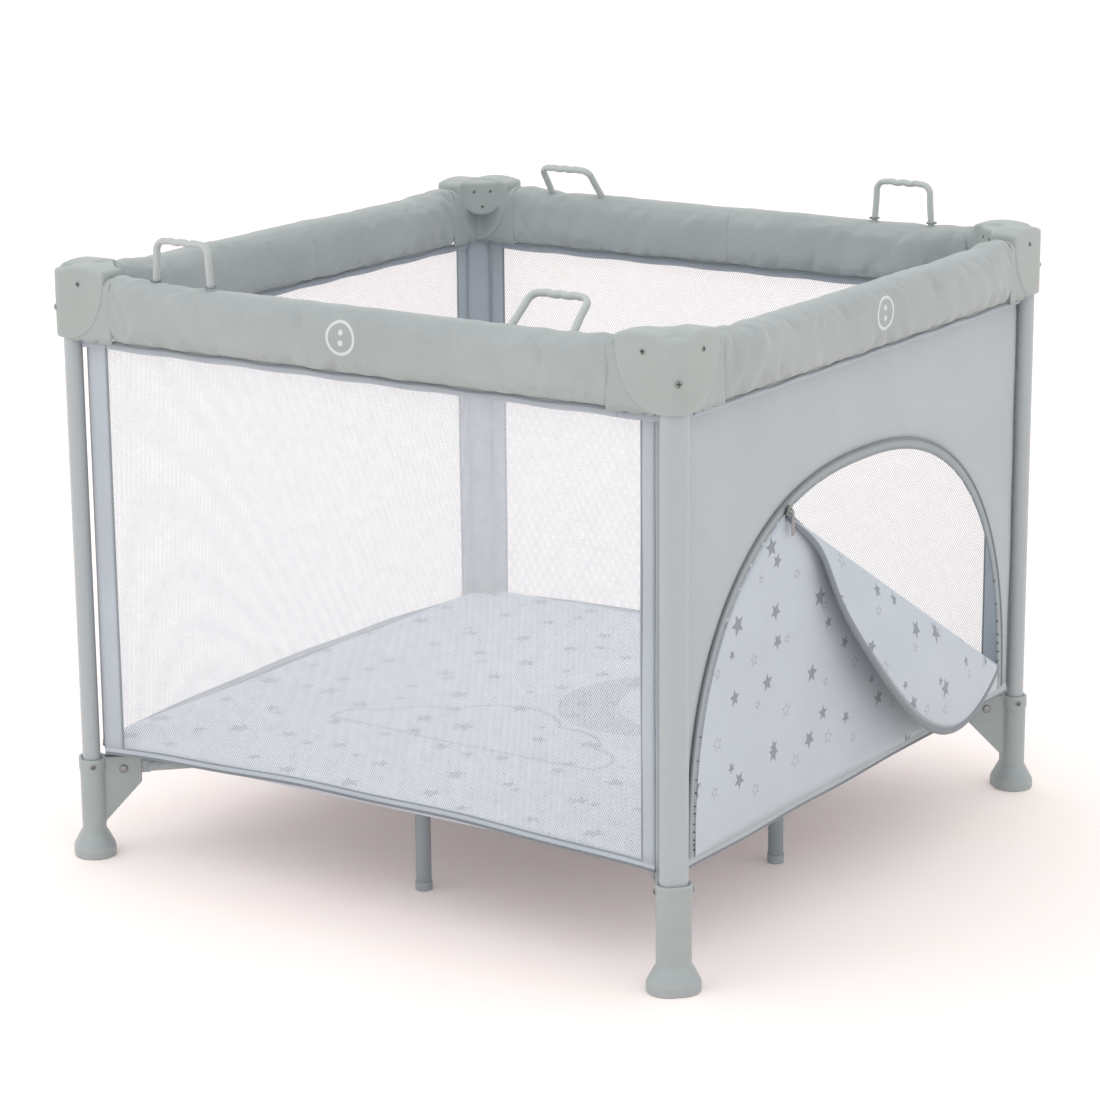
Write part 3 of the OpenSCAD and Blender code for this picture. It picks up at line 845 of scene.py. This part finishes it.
def net_wall(i):
    side = SIDES[i]
    place = side_matrix(i)
    net0, net1 = (v * MM for v in NET_END[i])
    pts, rows, cols = sheet_grid(net0 - 3 * MM, net1 + 3 * MM, WALL_BASE + NET_HEM - 3 * MM,
                                 WALL_TOP, i)
    net = add_piece(f"{side}_net", pts, grid_faces(rows, cols), "net", place)
    finish_fabric(net, i, "mesh_fabric", f"{side}_wall")
    for s, word, edge in ((-1, "first", net0), (1, "last", net1)):
        x0, x1 = sorted((edge, s * (HALF - WALL_IN)))
        pts, rows, cols = sheet_grid(x0, x1, WALL_BASE + 1 * MM, WALL_TOP, i, cols=5, rows=24)
        strip = solid_sheet(f"{side}_{word}_border", pts, rows, cols, 1.8 * MM, "border", place)
        finish_fabric(strip, i, "mesh_fabric")
        # bound edge of the border over the net
        path = [(edge + s * 1.2 * MM, wave(edge, WALL_BASE + k * 10 * MM, i),
                 drawn(edge, WALL_BASE + NET_HEM + (WALL_TOP - WALL_BASE - NET_HEM) * k / 50, i))
                for k in range(51)]
        trim(f"{side}_{word}_border_seam", path, round_ring(1.7 * MM, 1.5 * MM, 8), "binding",
             i, "mesh_fabric")
    path = [(x, wave(x, WALL_BASE, i), drawn(x, WALL_BASE + NET_HEM, i)
             + 0.8 * MM * sin(0.35 * k + i))
            for k, x in enumerate(net0 + (net1 - net0) * k / 60 for k in range(61))]
    trim(f"{side}_hem_seam", path, round_ring(1.5 * MM, 1.4 * MM, 8), "binding", i,
         "mesh_fabric")
    corner_strip(i, "mesh_fabric")
    bottom_hem(i)


# ---------------------------------------------------------------- door side

def arch_z(s):
    return DOOR_H * max(0.0, 1 - abs(s) ** DOOR_POWER) ** (1 / DOOR_POWER)


def arch_point(s, out=0.0):
    """Point on the arch at share s of its half width, moved outward by out."""
    h = 1e-3
    a = Vector((DOOR_MID + s * DOOR_HALF, WALL_BASE + HEM + arch_z(s) * ARCH_FIT))
    s0, s1 = max(s - h, -1), min(s + h, 1)
    d = Vector(((s1 - s0) * DOOR_HALF, (arch_z(s1) - arch_z(s0)) * ARCH_FIT)).normalized()
    return a + Vector((-d.y, d.x)) * out


ARCH_FIT = (DOOR_H - HEM) / DOOR_H


def arch_shares(n):
    """Shares along the arch, close together at its upright feet."""
    return [-cos(pi * k / n) for k in range(n + 1)]


def door_panel():
    i = 1
    e = HALF - WALL_IN
    place = side_matrix(i)
    columns = [(x, WALL_BASE + HEM) for x in (-e, (-e + DOOR_MID - DOOR_HALF) / 2)]
    columns += [tuple(arch_point(s, 0)) for s in arch_shares(72)]
    columns += [(x, WALL_BASE + HEM) for x in ((e + DOOR_MID + DOOR_HALF) / 2, e)]
    rows = 18
    pts = []
    for r in range(rows):
        for x, z0 in columns:
            z = z0 + (WALL_TOP - z0) * r / (rows - 1)
            pull = 1.6 * MM * sin((x + z * 2.1) * 21) * (r / rows) * (1 - r / rows)
            pts.append((x, wave(x, z, i) + pull, z))
    panel = solid_sheet("door_panel", pts, rows, len(columns), 1.4 * MM, "panel", place)
    finish_fabric(panel, i, "panel_fabric", "right_wall")
    corner_strip(i, "panel_fabric")
    bottom_hem(i)
    # zip tape round the arch, its sewn edge, and the row of teeth on it
    proud = -3.0 * MM
    arch = arch_shares(110)
    for name, out, ring, material, y in (
            ("door_zip_tape", 3.5 * MM, flat_ring(14 * MM, 1.6 * MM), "tape", proud),
            ("door_zip_piping", 9 * MM, round_ring(2.0 * MM, 1.8 * MM, 8), "piping",
             proud - 0.6 * MM)):
        path = [(p.x, y, p.y) for p in (arch_point(s, out) for s in arch)]
        trim(name, path, ring, material, i, "panel_fabric")
    teeth_run("door_zip_teeth", [arch_point(s, -2.5 * MM) for s in arch_shares(400)], proud,
              place)


SIGNS = [(a, b, c) for a in (-1, 1) for b in (-1, 1) for c in (-1, 1)]
BRICK = ((0, 1, 3, 2), (4, 6, 7, 5), (0, 4, 5, 1), (2, 3, 7, 6), (0, 2, 6, 4), (1, 5, 7, 3))


def brick_faces(base):
    """Faces of a box whose corners follow SIGNS from vertex base on."""
    return [tuple(base + v for v in f) for f in BRICK]


def teeth_run(name, line, y, place):
    """Row of small moulded teeth along a line of (x, z) points."""
    verts, faces = [], []
    travelled, pitch, last = 0.0, 3.2 * MM, None
    for p in line:
        if last is not None:
            travelled += (p - last).length
            while travelled > pitch:
                travelled -= pitch
                d = (p - last).normalized()
                n = Vector((-d.y, d.x))
                base = len(verts)
                for sx, sn, sy in SIGNS:
                    q = p + d * sx * 0.9 * MM + n * sn * (2.2 - 0.5 * (sy < 0)) * MM
                    verts.append((q.x, y + sy * 1.1 * MM, q.y))
                faces += brick_faces(base)
        last = p
    piece = outward(add_piece(name, verts, faces, "teeth", place, smooth=False))
    return finish_fabric(piece, 1, "zip_metal")


# The flap: zipped from its left foot up to the slider, loose from there to its right foot.
SLIDER_S = (SLIDER_X - DOOR_MID) / DOOR_HALF
FLAP_Y = -4.6 * MM


def crease_point(u):
    """Where the loose part folds over: a sagging line from the slider to the right foot."""
    a = Vector((SLIDER_X, SLIDER_Z - 4 * MM))
    b = Vector((CREASE_END.x, CREASE_END.z))
    p = a.lerp(b, u)
    bow = sin(pi * u)
    return Vector((p.x, FLAP_Y - 12 * MM * bow, p.y - 9 * MM * bow))


def loose_edge(u):
    """Loose edge of the flap, hanging out and down from the crease."""
    c = crease_point(u)
    hang = sin(pi * u ** 1.25) ** 0.85
    out = 40 * MM * sin(pi * u ** 1.1) ** 0.9
    lift = 12 * MM * math.exp(-((u - 0.10) / 0.07) ** 2)
    return Vector((c.x - 62 * MM * hang + lift, c.y - out, c.z - 126 * MM * hang - 2 * MM + lift))


def flap_mesh():
    place = side_matrix(1)
    shares = [SLIDER_S + (-0.9997 - SLIDER_S) * sin(pi / 2 * (1 - k / 40))
              for k in range(40)]
    left = [arch_point(s, -4.6 * MM) for s in shares]
    cols_left = [(p.x, p.y, None) for p in left]
    n_right = 56
    cols_right = [(crease_point(k / n_right).x, crease_point(k / n_right).z, k / n_right)
                  for k in range(n_right + 1)]
    columns = cols_left + cols_right
    rows_up, rows_over = 26, 20
    foot_z = WALL_BASE + HEM - 2 * MM
    pts = []
    for r in range(rows_up + rows_over):
        for x, top, u in columns:
            if r < rows_up:
                t = r / (rows_up - 1)
                z = foot_z + (top - foot_z) * t
                bow = 0.0 if u is None else (FLAP_Y - crease_point(u).y)
                ripple = 1.8 * MM * noise.noise(Vector((x * 7, z * 6, 3.3)))
                pts.append((x, FLAP_Y - bow * t ** 2 + ripple * (1 - t) * min(1, 4 * t), z))
            elif u is None:                   # the zipped columns end at the arch
                pts.append((x, FLAP_Y, top + 0.02 * MM * (r - rows_up + 1)))
            else:
                t = (r - rows_up + 1) / rows_over
                c, e = crease_point(u), loose_edge(u)
                ctrl = Vector((c.x - 6 * MM, c.y - (abs(e.y - c.y) * 0.95 + 3 * MM),
                               c.z + 6 * MM * sin(pi * u)))
                p = c * (1 - t) ** 2 + ctrl * 2 * t * (1 - t) + e * t ** 2
                ripple = 2.2 * MM * sin(u * 23 + t * 3) * t * (1 - t)
                pts.append((p.x, p.y - ripple, p.z))
    n = len(columns)
    faces = [f for f in grid_faces(rows_up + rows_over, n)
             if not (f[0] // n >= rows_up - 1 and f[0] % n < len(cols_left))]
    obj = add_piece("door_flap_fabric", pts, faces, "flap", place)
    reworked(obj.data, lambda b: bmesh.ops.delete(
        b, geom=[v for v in b.verts if not v.link_faces], context="VERTS"))
    outward(modify(obj, "SOLIDIFY", thickness=1.2 * MM, offset=0))
    finish_fabric(obj, 1, "flap_fabric", "door_flap")


def flap_trim():
    n = 90
    path = [(SLIDER_X, FLAP_Y - 3 * MM, SLIDER_Z - 2 * MM)]
    path += [tuple(loose_edge(k / n)) for k in range(1, n + 1)]
    trim("flap_edge_tape", path, round_ring(4.6 * MM, 2.6 * MM, 12), "piping", 1, "flap_fabric")
    inner = [(x + 3 * MM, y + 0.5 * MM, z + 6 * MM * sin(pi * k / n))
             for k, (x, y, z) in enumerate(path)]
    trim("flap_edge_tape_inner", inner, round_ring(4.0 * MM, 1.3 * MM, 10), "tape", 1,
         "flap_fabric")


def slider():
    """Zip slider body and its pull with a ring."""
    place = side_matrix(1)
    body_y = FLAP_Y - 3.2 * MM
    s = 7 * MM
    slope = radians(28)
    verts = []
    outline = [(-0.9, -1.0), (0.9, -1.0), (1.0, 0.2), (0.7, 1.0), (-0.7, 1.0), (-1.0, 0.2)]
    for y, k in ((body_y + 1.6 * MM, 1.0), (body_y - 1.6 * MM, 1.0), (body_y - 2.4 * MM, 0.8)):
        for a, b in outline:
            x, z = a * s * 0.7 * k, b * s * k
            verts.append((SLIDER_X + x * cos(slope) + z * sin(slope), y,
                          SLIDER_Z + z * cos(slope) - x * sin(slope)))
    m = len(outline)
    faces = grid_faces(3, m, wrap=True) + [tuple(range(m - 1, -1, -1)),
                                           tuple(2 * m + c for c in range(m))]
    body = outward(add_piece("zip_slider", verts, faces, "steel", place, smooth=False))
    modify(body, "BEVEL", width=0.6 * MM, segments=2)
    ride_slot(body, "front_right_corner", "zip_metal")
    # pull: a loop at the top and a plate that widens downward
    top = PULL[0] - HALF                       # how far the pull stands out
    lo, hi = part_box("zip_pull")
    length = float(hi.z - lo.z) - 2 * MM
    path = [(SLIDER_X, -top, SLIDER_Z - k / 14 * length) for k in range(15)]

    def ring(u):
        w = (2.0 + 2.4 * min(1.0, u * 1.6) - (1.2 if u > 0.93 else 0.0)) * MM
        return round_ring(1.0 * MM, w, 12)

    plate = tube("zip_pull_plate", path, ring, "steel", place, up=Vector((1, 0, 0)))
    ride_slot(plate, "zip_pull", "zip_metal", "zip_pull")
    loop = [(SLIDER_X, -top + 2.6 * MM + 2.6 * MM * cos(a), SLIDER_Z + 2.6 * MM * sin(a))
            for a in (2 * pi * k / 20 for k in range(20))]
    eye = tube("zip_pull_loop", loop, round_ring(0.8 * MM, 0.8 * MM, 8), "steel", place,
               closed=True, up=Vector((1, 0, 0)))
    ride_slot(eye, "front_right_corner", "zip_metal")


# ---------------------------------------------------------------- mat

MAT_HALF = float(MAT_HI[0])
MAT_CUT = 40 * MM                 # corner of the mat cut off for the post


def mat_quarter(i):
    """One quarter of the folding mat, in its corner frame turned so x and y run inward."""
    n = 46
    edge = HALF - MAT_HALF
    thick = float(MAT_HI[2] - MAT_LO[2])
    top, bottom = [], []
    for r in range(n + 1):
        for c in range(n + 1):
            u, v = (c / n) ** 1.25, (r / n) ** 1.25
            x, y = edge + u * (HALF - edge), edge + v * (HALF - edge)
            short = edge * 2 + MAT_CUT - (x + y)
            if short > 0:
                x, y = x + short / 2, y + short / 2
            near = min(x - edge, y - edge, (x + y - edge * 2 - MAT_CUT) * 0.7 + 1e-4)
            rise = min(1.0, max(near, 0) / (9 * MM))
            roll = math.sqrt(1 - (1 - rise) ** 2)
            w = corner_matrix(i) @ Vector((x, y, 0))
            puff = 1.6 * MM * noise.noise(Vector((w.x * 5, w.y * 5, 0.5)))
            puff += 0.7 * MM * noise.noise(Vector((w.x * 19, w.y * 19, 2.5)))
            z = float(MAT_LO[2]) + thick * (0.45 + 0.55 * roll) + puff * roll
            top.append((w.x, w.y, z))
            bottom.append((w.x, w.y, float(MAT_LO[2]) + thick * 0.40 * (1 - roll)))
    cols = n + 1
    faces = grid_faces(cols, cols)
    base = len(top)
    faces += [tuple(base + k for k in reversed(f)) for f in grid_faces(cols, cols)]
    rim = [c for c in range(cols)] + [r * cols + n for r in range(1, cols)]
    rim += [n * cols + c for c in range(n - 1, -1, -1)] + [r * cols for r in range(n - 1, 0, -1)]
    for a, b in zip(rim, rim[1:] + rim[:1]):
        faces.append((a, b, base + b, base + a))
    obj = outward(add_piece(f"mat_{CORNERS[i]}", top + bottom, faces, "mat"))
    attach(obj, f"{CORNERS[i]}_arm")
    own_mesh(obj)
    return obj


def make_mat():
    quarters = [mat_quarter(i) for i in range(4)]
    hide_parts("mat")


# ---------------------------------------------------------------- handles

HANDLE_LEAN = {"front_a": 0.0, "front_b": radians(50),
               "back_a": 0.0, "back_b": radians(38)}


def handle_path():
    """Legs up from the rod, rounded corners, and a grip that waves gently."""
    top = HANDLE_TOP - 5 * MM
    foot = HANDLE_HALF - 4.6 * MM
    head = foot - 3 * MM
    r = 13 * MM
    pts = [(-foot, 0, -2 * MM), (-foot + 1 * MM, 0, top * 0.3), (-head, 0, top * 0.62)]
    for k in range(9):
        a = pi - pi / 2 * k / 8
        pts.append((-head + r + r * cos(a), 0, top - r + r * sin(a)))
    left = list(pts)
    grip = [(x, 0, top + 0.8 * MM * cos(x * 2 * pi / (19 * MM)))
            for x in (-head + r + 4 * MM + (2 * (head - r) - 8 * MM) * k / 24 for k in range(25))]
    right = [(-x, y, z) for x, y, z in reversed(left)]
    return left + grip + right


def make_handles():
    path = handle_path()
    for i in (0, 2):
        for half, s in (("a", -1), ("b", 1)):
            name = f"{SIDES[i]}_handle_{half}"

            def ring(u):
                grip = 0.5 + 0.5 * cos(2 * pi * 9 * u)
                held = max(0.0, sin(pi * (u - 0.3) / 0.4)) if 0.3 < u < 0.7 else 0.0
                return round_ring((4.4 + 0.5 * grip * held) * MM, (5.4 + 0.4 * grip * held) * MM)

            place = side_matrix(i) @ Matrix.Translation((s * HANDLE_OFF, 0, HANDLE_Z))
            place = place @ Matrix.Rotation(-HANDLE_LEAN[f"{SIDES[i]}_{half}"], 4, "X")
            obj = tube(name + "_grip", path, ring, "handle", place)
            modify(obj, "SUBSURF", levels=1, render_levels=1)
            ride_slot(obj, name, "handle_plastic", name)


# ---------------------------------------------------------------- moulded corners

def remesh(obj, voxel, rounds, factor=0.5):
    """Soft-edged moulding from joined closed solids."""
    modify(obj, "REMESH", mode="VOXEL", voxel_size=voxel, use_smooth_shade=True)
    return modify(obj, "SMOOTH", iterations=rounds, factor=factor)


def block(points_xz, y0, y1):
    """Closed prism from an outline in x and z, between two y."""
    n = len(points_xz)
    verts = [(x, y0, z) for x, z in points_xz] + [(x, y1, z) for x, z in points_xz]
    faces = [tuple(range(n)), tuple(range(2 * n - 1, n - 1, -1))]
    faces += [(k, (k + 1) % n, n + (k + 1) % n, n + k) for k in range(n)]
    return verts, faces


LOBE = CAP_LOBE - 6 * MM          # a lobe's rounded end from the post axis
SHELL = CAP_OUT - 1.4 * MM        # half the width of a lobe, and the cap's radius at the post
SCREW_AT, SCREW_UP = 30 * MM, 72 * MM
SHIELD = 56 * MM                  # inner face of the cap from the post axis


def lobe_outline(inset=0.0, end=0.0):
    """Side of one cap lobe: domed over the rail, with a long round lower edge."""
    x1, low = LOBE - inset + end, CAP_BASE - (20 * MM if inset else 0.0)
    pts = [(0.0, low), (0.0, CAP_TOP - 10 * MM - inset)]
    for k in range(1, 17):
        x = x1 * k / 16
        dome = sin(pi * min(1.0, 0.12 + 0.78 * k / 16)) ** 0.8
        pts.append((x, CAP_TOP - 9.5 * MM + 8 * MM * dome - inset))
    if inset:
        return pts + [(x1, low)]
    rx, rz = 60 * MM, 80 * MM
    for k in range(13):
        a = radians(-90 * k / 12)
        pts.append((x1 - rx + rx * cos(a), CAP_BASE + rz + rz * sin(a)))
    return pts


def round_post(r, z0, z1):
    """Closed upright cylinder on the post axis."""
    n = 40
    ring = round_ring(r, r, n)
    verts = [(x, y, z) for z in (z0, z1) for x, y in ring]
    return verts, grid_faces(2, n, wrap=True) + [tuple(range(n - 1, -1, -1)),
                                                 tuple(n + k for k in range(n))]


def shield():
    """Inner face of the cap, across the corner from lobe to lobe, round below."""
    half, top, base = 29 * MM, CAP_TOP - 5 * MM, CAP_TOP - 54 * MM
    pts = [(-half, top), (half, top)]
    pts += [(half * cos(radians(-90 * k / 8)) ** 0.8 if k < 8 else 0.0,
             base + 30 * MM + 30 * MM * sin(radians(-90 * k / 8))) for k in range(9)]
    pts += [(-x, z) for x, z in reversed(pts[2:-1])]
    verts, faces = block(pts, 14 * MM, SHIELD)
    spin = Matrix.Rotation(radians(-45), 4, "Z")
    return [tuple(spin @ Vector(v)) for v in verts], faces


def swap_xy(verts):
    return [(y, x, z) for x, y, z in verts]


def joined(parts):
    verts, faces = [], []
    for v, f in parts:
        base = len(verts)
        verts += v
        faces += [tuple(base + k for k in g) for g in f]
    return verts, faces


def lobes(inset, end, half):
    v, f = block(lobe_outline(inset, end), -half, half)
    return [(v, f), (swap_xy(v), f)]


def make_cap(i):
    name = f"{CORNERS[i]}_cap_shell"
    solid = lobes(0.0, 0.0, SHELL) + [round_post(SHELL, CAP_BASE, CAP_TOP - 8 * MM), shield()]
    obj = outward(add_piece(name, *joined(solid), "corner"))
    remesh(obj, 1.6 * MM, 22, 0.6)
    wall = 3.0 * MM
    room = lobes(wall + 2 * MM, 20 * MM, SHELL - wall)
    room.append(round_post(SHELL - wall, CAP_BASE - 20 * MM, CAP_TOP - 14 * MM))
    cutter = outward(add_piece("cutter", *joined(room), None))
    remesh(cutter, 2.2 * MM, 3, 0.5)
    modify(obj, "BOOLEAN", operation="DIFFERENCE", object=cutter, solver="FAST")
    bpy.data.objects.remove(cutter)
    obj.data.transform(corner_matrix(i))
    keep_local(obj)
    shade_smooth(obj.data)
    ride_slot(obj, f"{CORNERS[i]}_corner", "corner_plastic", f"{CORNERS[i]}_cap")


def screw(name, place, r, body, slot_name, cross=True):
    """Domed screw or rivet head on the local +Z axis."""
    rings, n, rise = 5, 24, 0.42 * r
    verts = [(0, 0, rise)]
    for k in range(1, rings + 1):
        a = pi / 2 * k / rings
        verts += [(x, y, rise * cos(a)) for x, y in round_ring(r * sin(a), r * sin(a), n)]
    verts += [(x, y, -0.35 * r) for x, y in round_ring(r, r, n)]
    faces = [(0, 1 + j, 1 + (j + 1) % n) for j in range(n)]
    faces += [tuple(1 + k for k in f) for f in grid_faces(rings + 1, n, wrap=True)]
    faces.append(tuple(1 + rings * n + j for j in range(n - 1, -1, -1)))
    ride_slot(outward(add_piece(name, verts, faces, "steel", place)), body, slot_name)
    # the cross recess is drawn as dark bricks on the head: painted shade, not a hollow
    if cross:
        v = [(sx * w * r, sy * l * r, (0.33 + 0.13 * sz) * r)
             for w, l in ((0.16, 0.62), (0.62, 0.16)) for sx, sy, sz in SIGNS]
        slot_shade = add_piece(name + "_cross", v, brick_faces(0) + brick_faces(8), "dark", place,
                             smooth=False)
        ride_slot(slot_shade, body, slot_name)


def facing(x, y, z, direction):
    """Placement with local +Z along direction."""
    turn_to = Vector((0, 0, 1)).rotation_difference(Vector(direction)).to_matrix().to_4x4()
    return Matrix.Translation((x, y, z)) @ turn_to


def corner_screws(i):
    name, body, at = CORNERS[i], f"{CORNERS[i]}_corner", corner_matrix(i)
    inward = inward_matrix(i)
    up, face = CAP_BASE + SCREW_UP, SHELL - 0.6 * MM
    spots = [("a", at @ facing(SCREW_AT, -face, up, (0, -1, 0)), 4.2),
             ("b", at @ facing(-face, SCREW_AT, up, (-1, 0, 0)), 4.2),
             ("c", inward @ facing(-SHELL + 0.4 * MM, 0, CAP_BASE + 38 * MM, (-1, 0, 0)), 4.8)]
    inner = SHIELD - 0.8 * MM
    spots += [("d", inward @ facing(inner, -12 * MM, CAP_TOP - 19 * MM, (1, 0, 0)), 3.2),
              ("e", inward @ facing(inner, 12 * MM, CAP_TOP - 19 * MM, (1, 0, 0)), 3.2),
              ("f", inward @ facing(inner, 0, CAP_TOP - 41 * MM, (1, 0, 0)), 3.2)]
    for letter, place, r in spots:
        screw(f"{name}_cap_screw_{letter}", place, r * MM, body, "corner_plastic")
    for s, word in ((-1, "left"), (1, "right")):
        screw(f"{name}_arm_rivet_{word}",
              inward @ facing(ARM_PIVOT, s * 8.2 * MM, ARM_Z, (0, s, 0)), 6.0 * MM, body,
              "corner_plastic", cross=False)
        screw(f"{name}_collar_screw_{word}",
              inward @ facing(0, s * 22.4 * MM, FOOT_TOP - 9 * MM, (0, s, 0)),
              4.2 * MM, body, "corner_plastic")


def moulded_copy(node, piece_name, material, slot_name, body):
    """A CAD moulding with its sharp edges softened."""
    mesh = frame["nodes"][node].data.copy()
    obj = put(piece_name, mesh)
    mesh.materials.clear()
    mesh.materials.append(M[material].mat)
    reworked(mesh, lambda b: bmesh.ops.remove_doubles(b, verts=b.verts, dist=0.01 * MM))
    remesh(obj, 1.6 * MM, 5, 0.5)
    if not obj.data.materials:
        obj.data.materials.append(M[material].mat)
    keep_local(obj)
    return ride_slot(obj, body, slot_name, node)


# ---------------------------------------------------------------- build

make_covers()
for k in (0, 2, 3):
    net_wall(k)
door_panel()
flap_mesh()
flap_trim()
slider()
make_mat()
make_handles()
for k, corner in enumerate(CORNERS):
    make_cap(k)
    corner_screws(k)
    moulded_copy(f"{corner}_foot", f"{corner}_foot_moulding", "foot", "corner_plastic",
                 f"{corner}_corner")

for node, obj in frame["nodes"].items():
    kinds = (("_post", "post"), ("_knuckle", "hinge"), ("_leg", "leg"), ("_lock", "lock"),
             ("_rail_a", "rail"), ("_rail_b", "rail"), ("_arm", "base"), ("base_tube", "base"))
    for ending, material in kinds:
        if ending in node:
            obj.data.materials.clear()
            obj.data.materials.append(M[material].mat)
            break

# ---------------------------------------------------------------- floor, light, camera

def make_floor():
    g = Graph("studio_floor")
    place = g.place()
    g.set(Base_Color=g.mix(g.ramp(g.noise(place, 3.0), 0.3, 0.7), rgb(254, 246, 244),
                           rgb(255, 248, 247)), Roughness=0.9,
          Emission_Color=(0.062, 0.041, 0.026, 1.0), Emission_Strength=1.0)
    mesh = bpy.data.meshes.new("studio_floor")
    s = 9.0
    mesh.from_pydata([(-s, -s, 0), (s, -s, 0), (s, s, 0), (-s, s, 0)], [], [(0, 1, 2, 3)])
    mesh.materials.append(g.mat)
    put("studio_floor", mesh)


def area_light(name, place, aim, size, power):
    data = bpy.data.lights.new(name, "AREA")
    data.shape = "DISK"
    data.size = size
    data.energy = power
    obj = put(name, data)
    obj.location = place
    obj.rotation_euler = (Vector(aim) - Vector(place)).to_track_quat("-Z", "Y").to_euler()


def make_world(strength):
    world = bpy.data.worlds.new("studio")
    world.use_nodes = True
    back = world.node_tree.nodes["Background"]
    back.inputs[0].default_value = (1.0, 1.0, 1.0, 1.0)
    back.inputs[1].default_value = strength
    bpy.context.scene.world = world


CAMERA_AT = (2.3896, -3.6085, 1.5022)
CAMERA_TURN, CAMERA_DOWN, CAMERA_ROLL = 33.75, 14.575, -0.477   # degrees
CAMERA_LENS = 109.6                                             # millimetres, 36 mm sensor


def make_camera():
    data = bpy.data.cameras.new("camera")
    data.lens = CAMERA_LENS
    data.sensor_width = 36
    data.clip_end = 50
    obj = put("camera", data)
    a, e, r = (radians(v) for v in (CAMERA_TURN, CAMERA_DOWN, CAMERA_ROLL))
    look = Matrix.Rotation(a, 4, "Z") @ Matrix.Rotation(pi / 2 - e, 4, "X")
    obj.matrix_world = Matrix.Translation(CAMERA_AT) @ look @ Matrix.Rotation(r, 4, "Z")
    bpy.context.scene.camera = obj


make_floor()
make_world(1.12)
area_light("key_light", (-2.5, -3.5, 4.5), (0, 0, 0.4), 4.0, 34)
area_light("fill_light", (4.0, -1.5, 3.0), (0, 0, 0.4), 4.0, 5)
make_camera()
bpy.context.scene.view_settings.view_transform = "Standard"
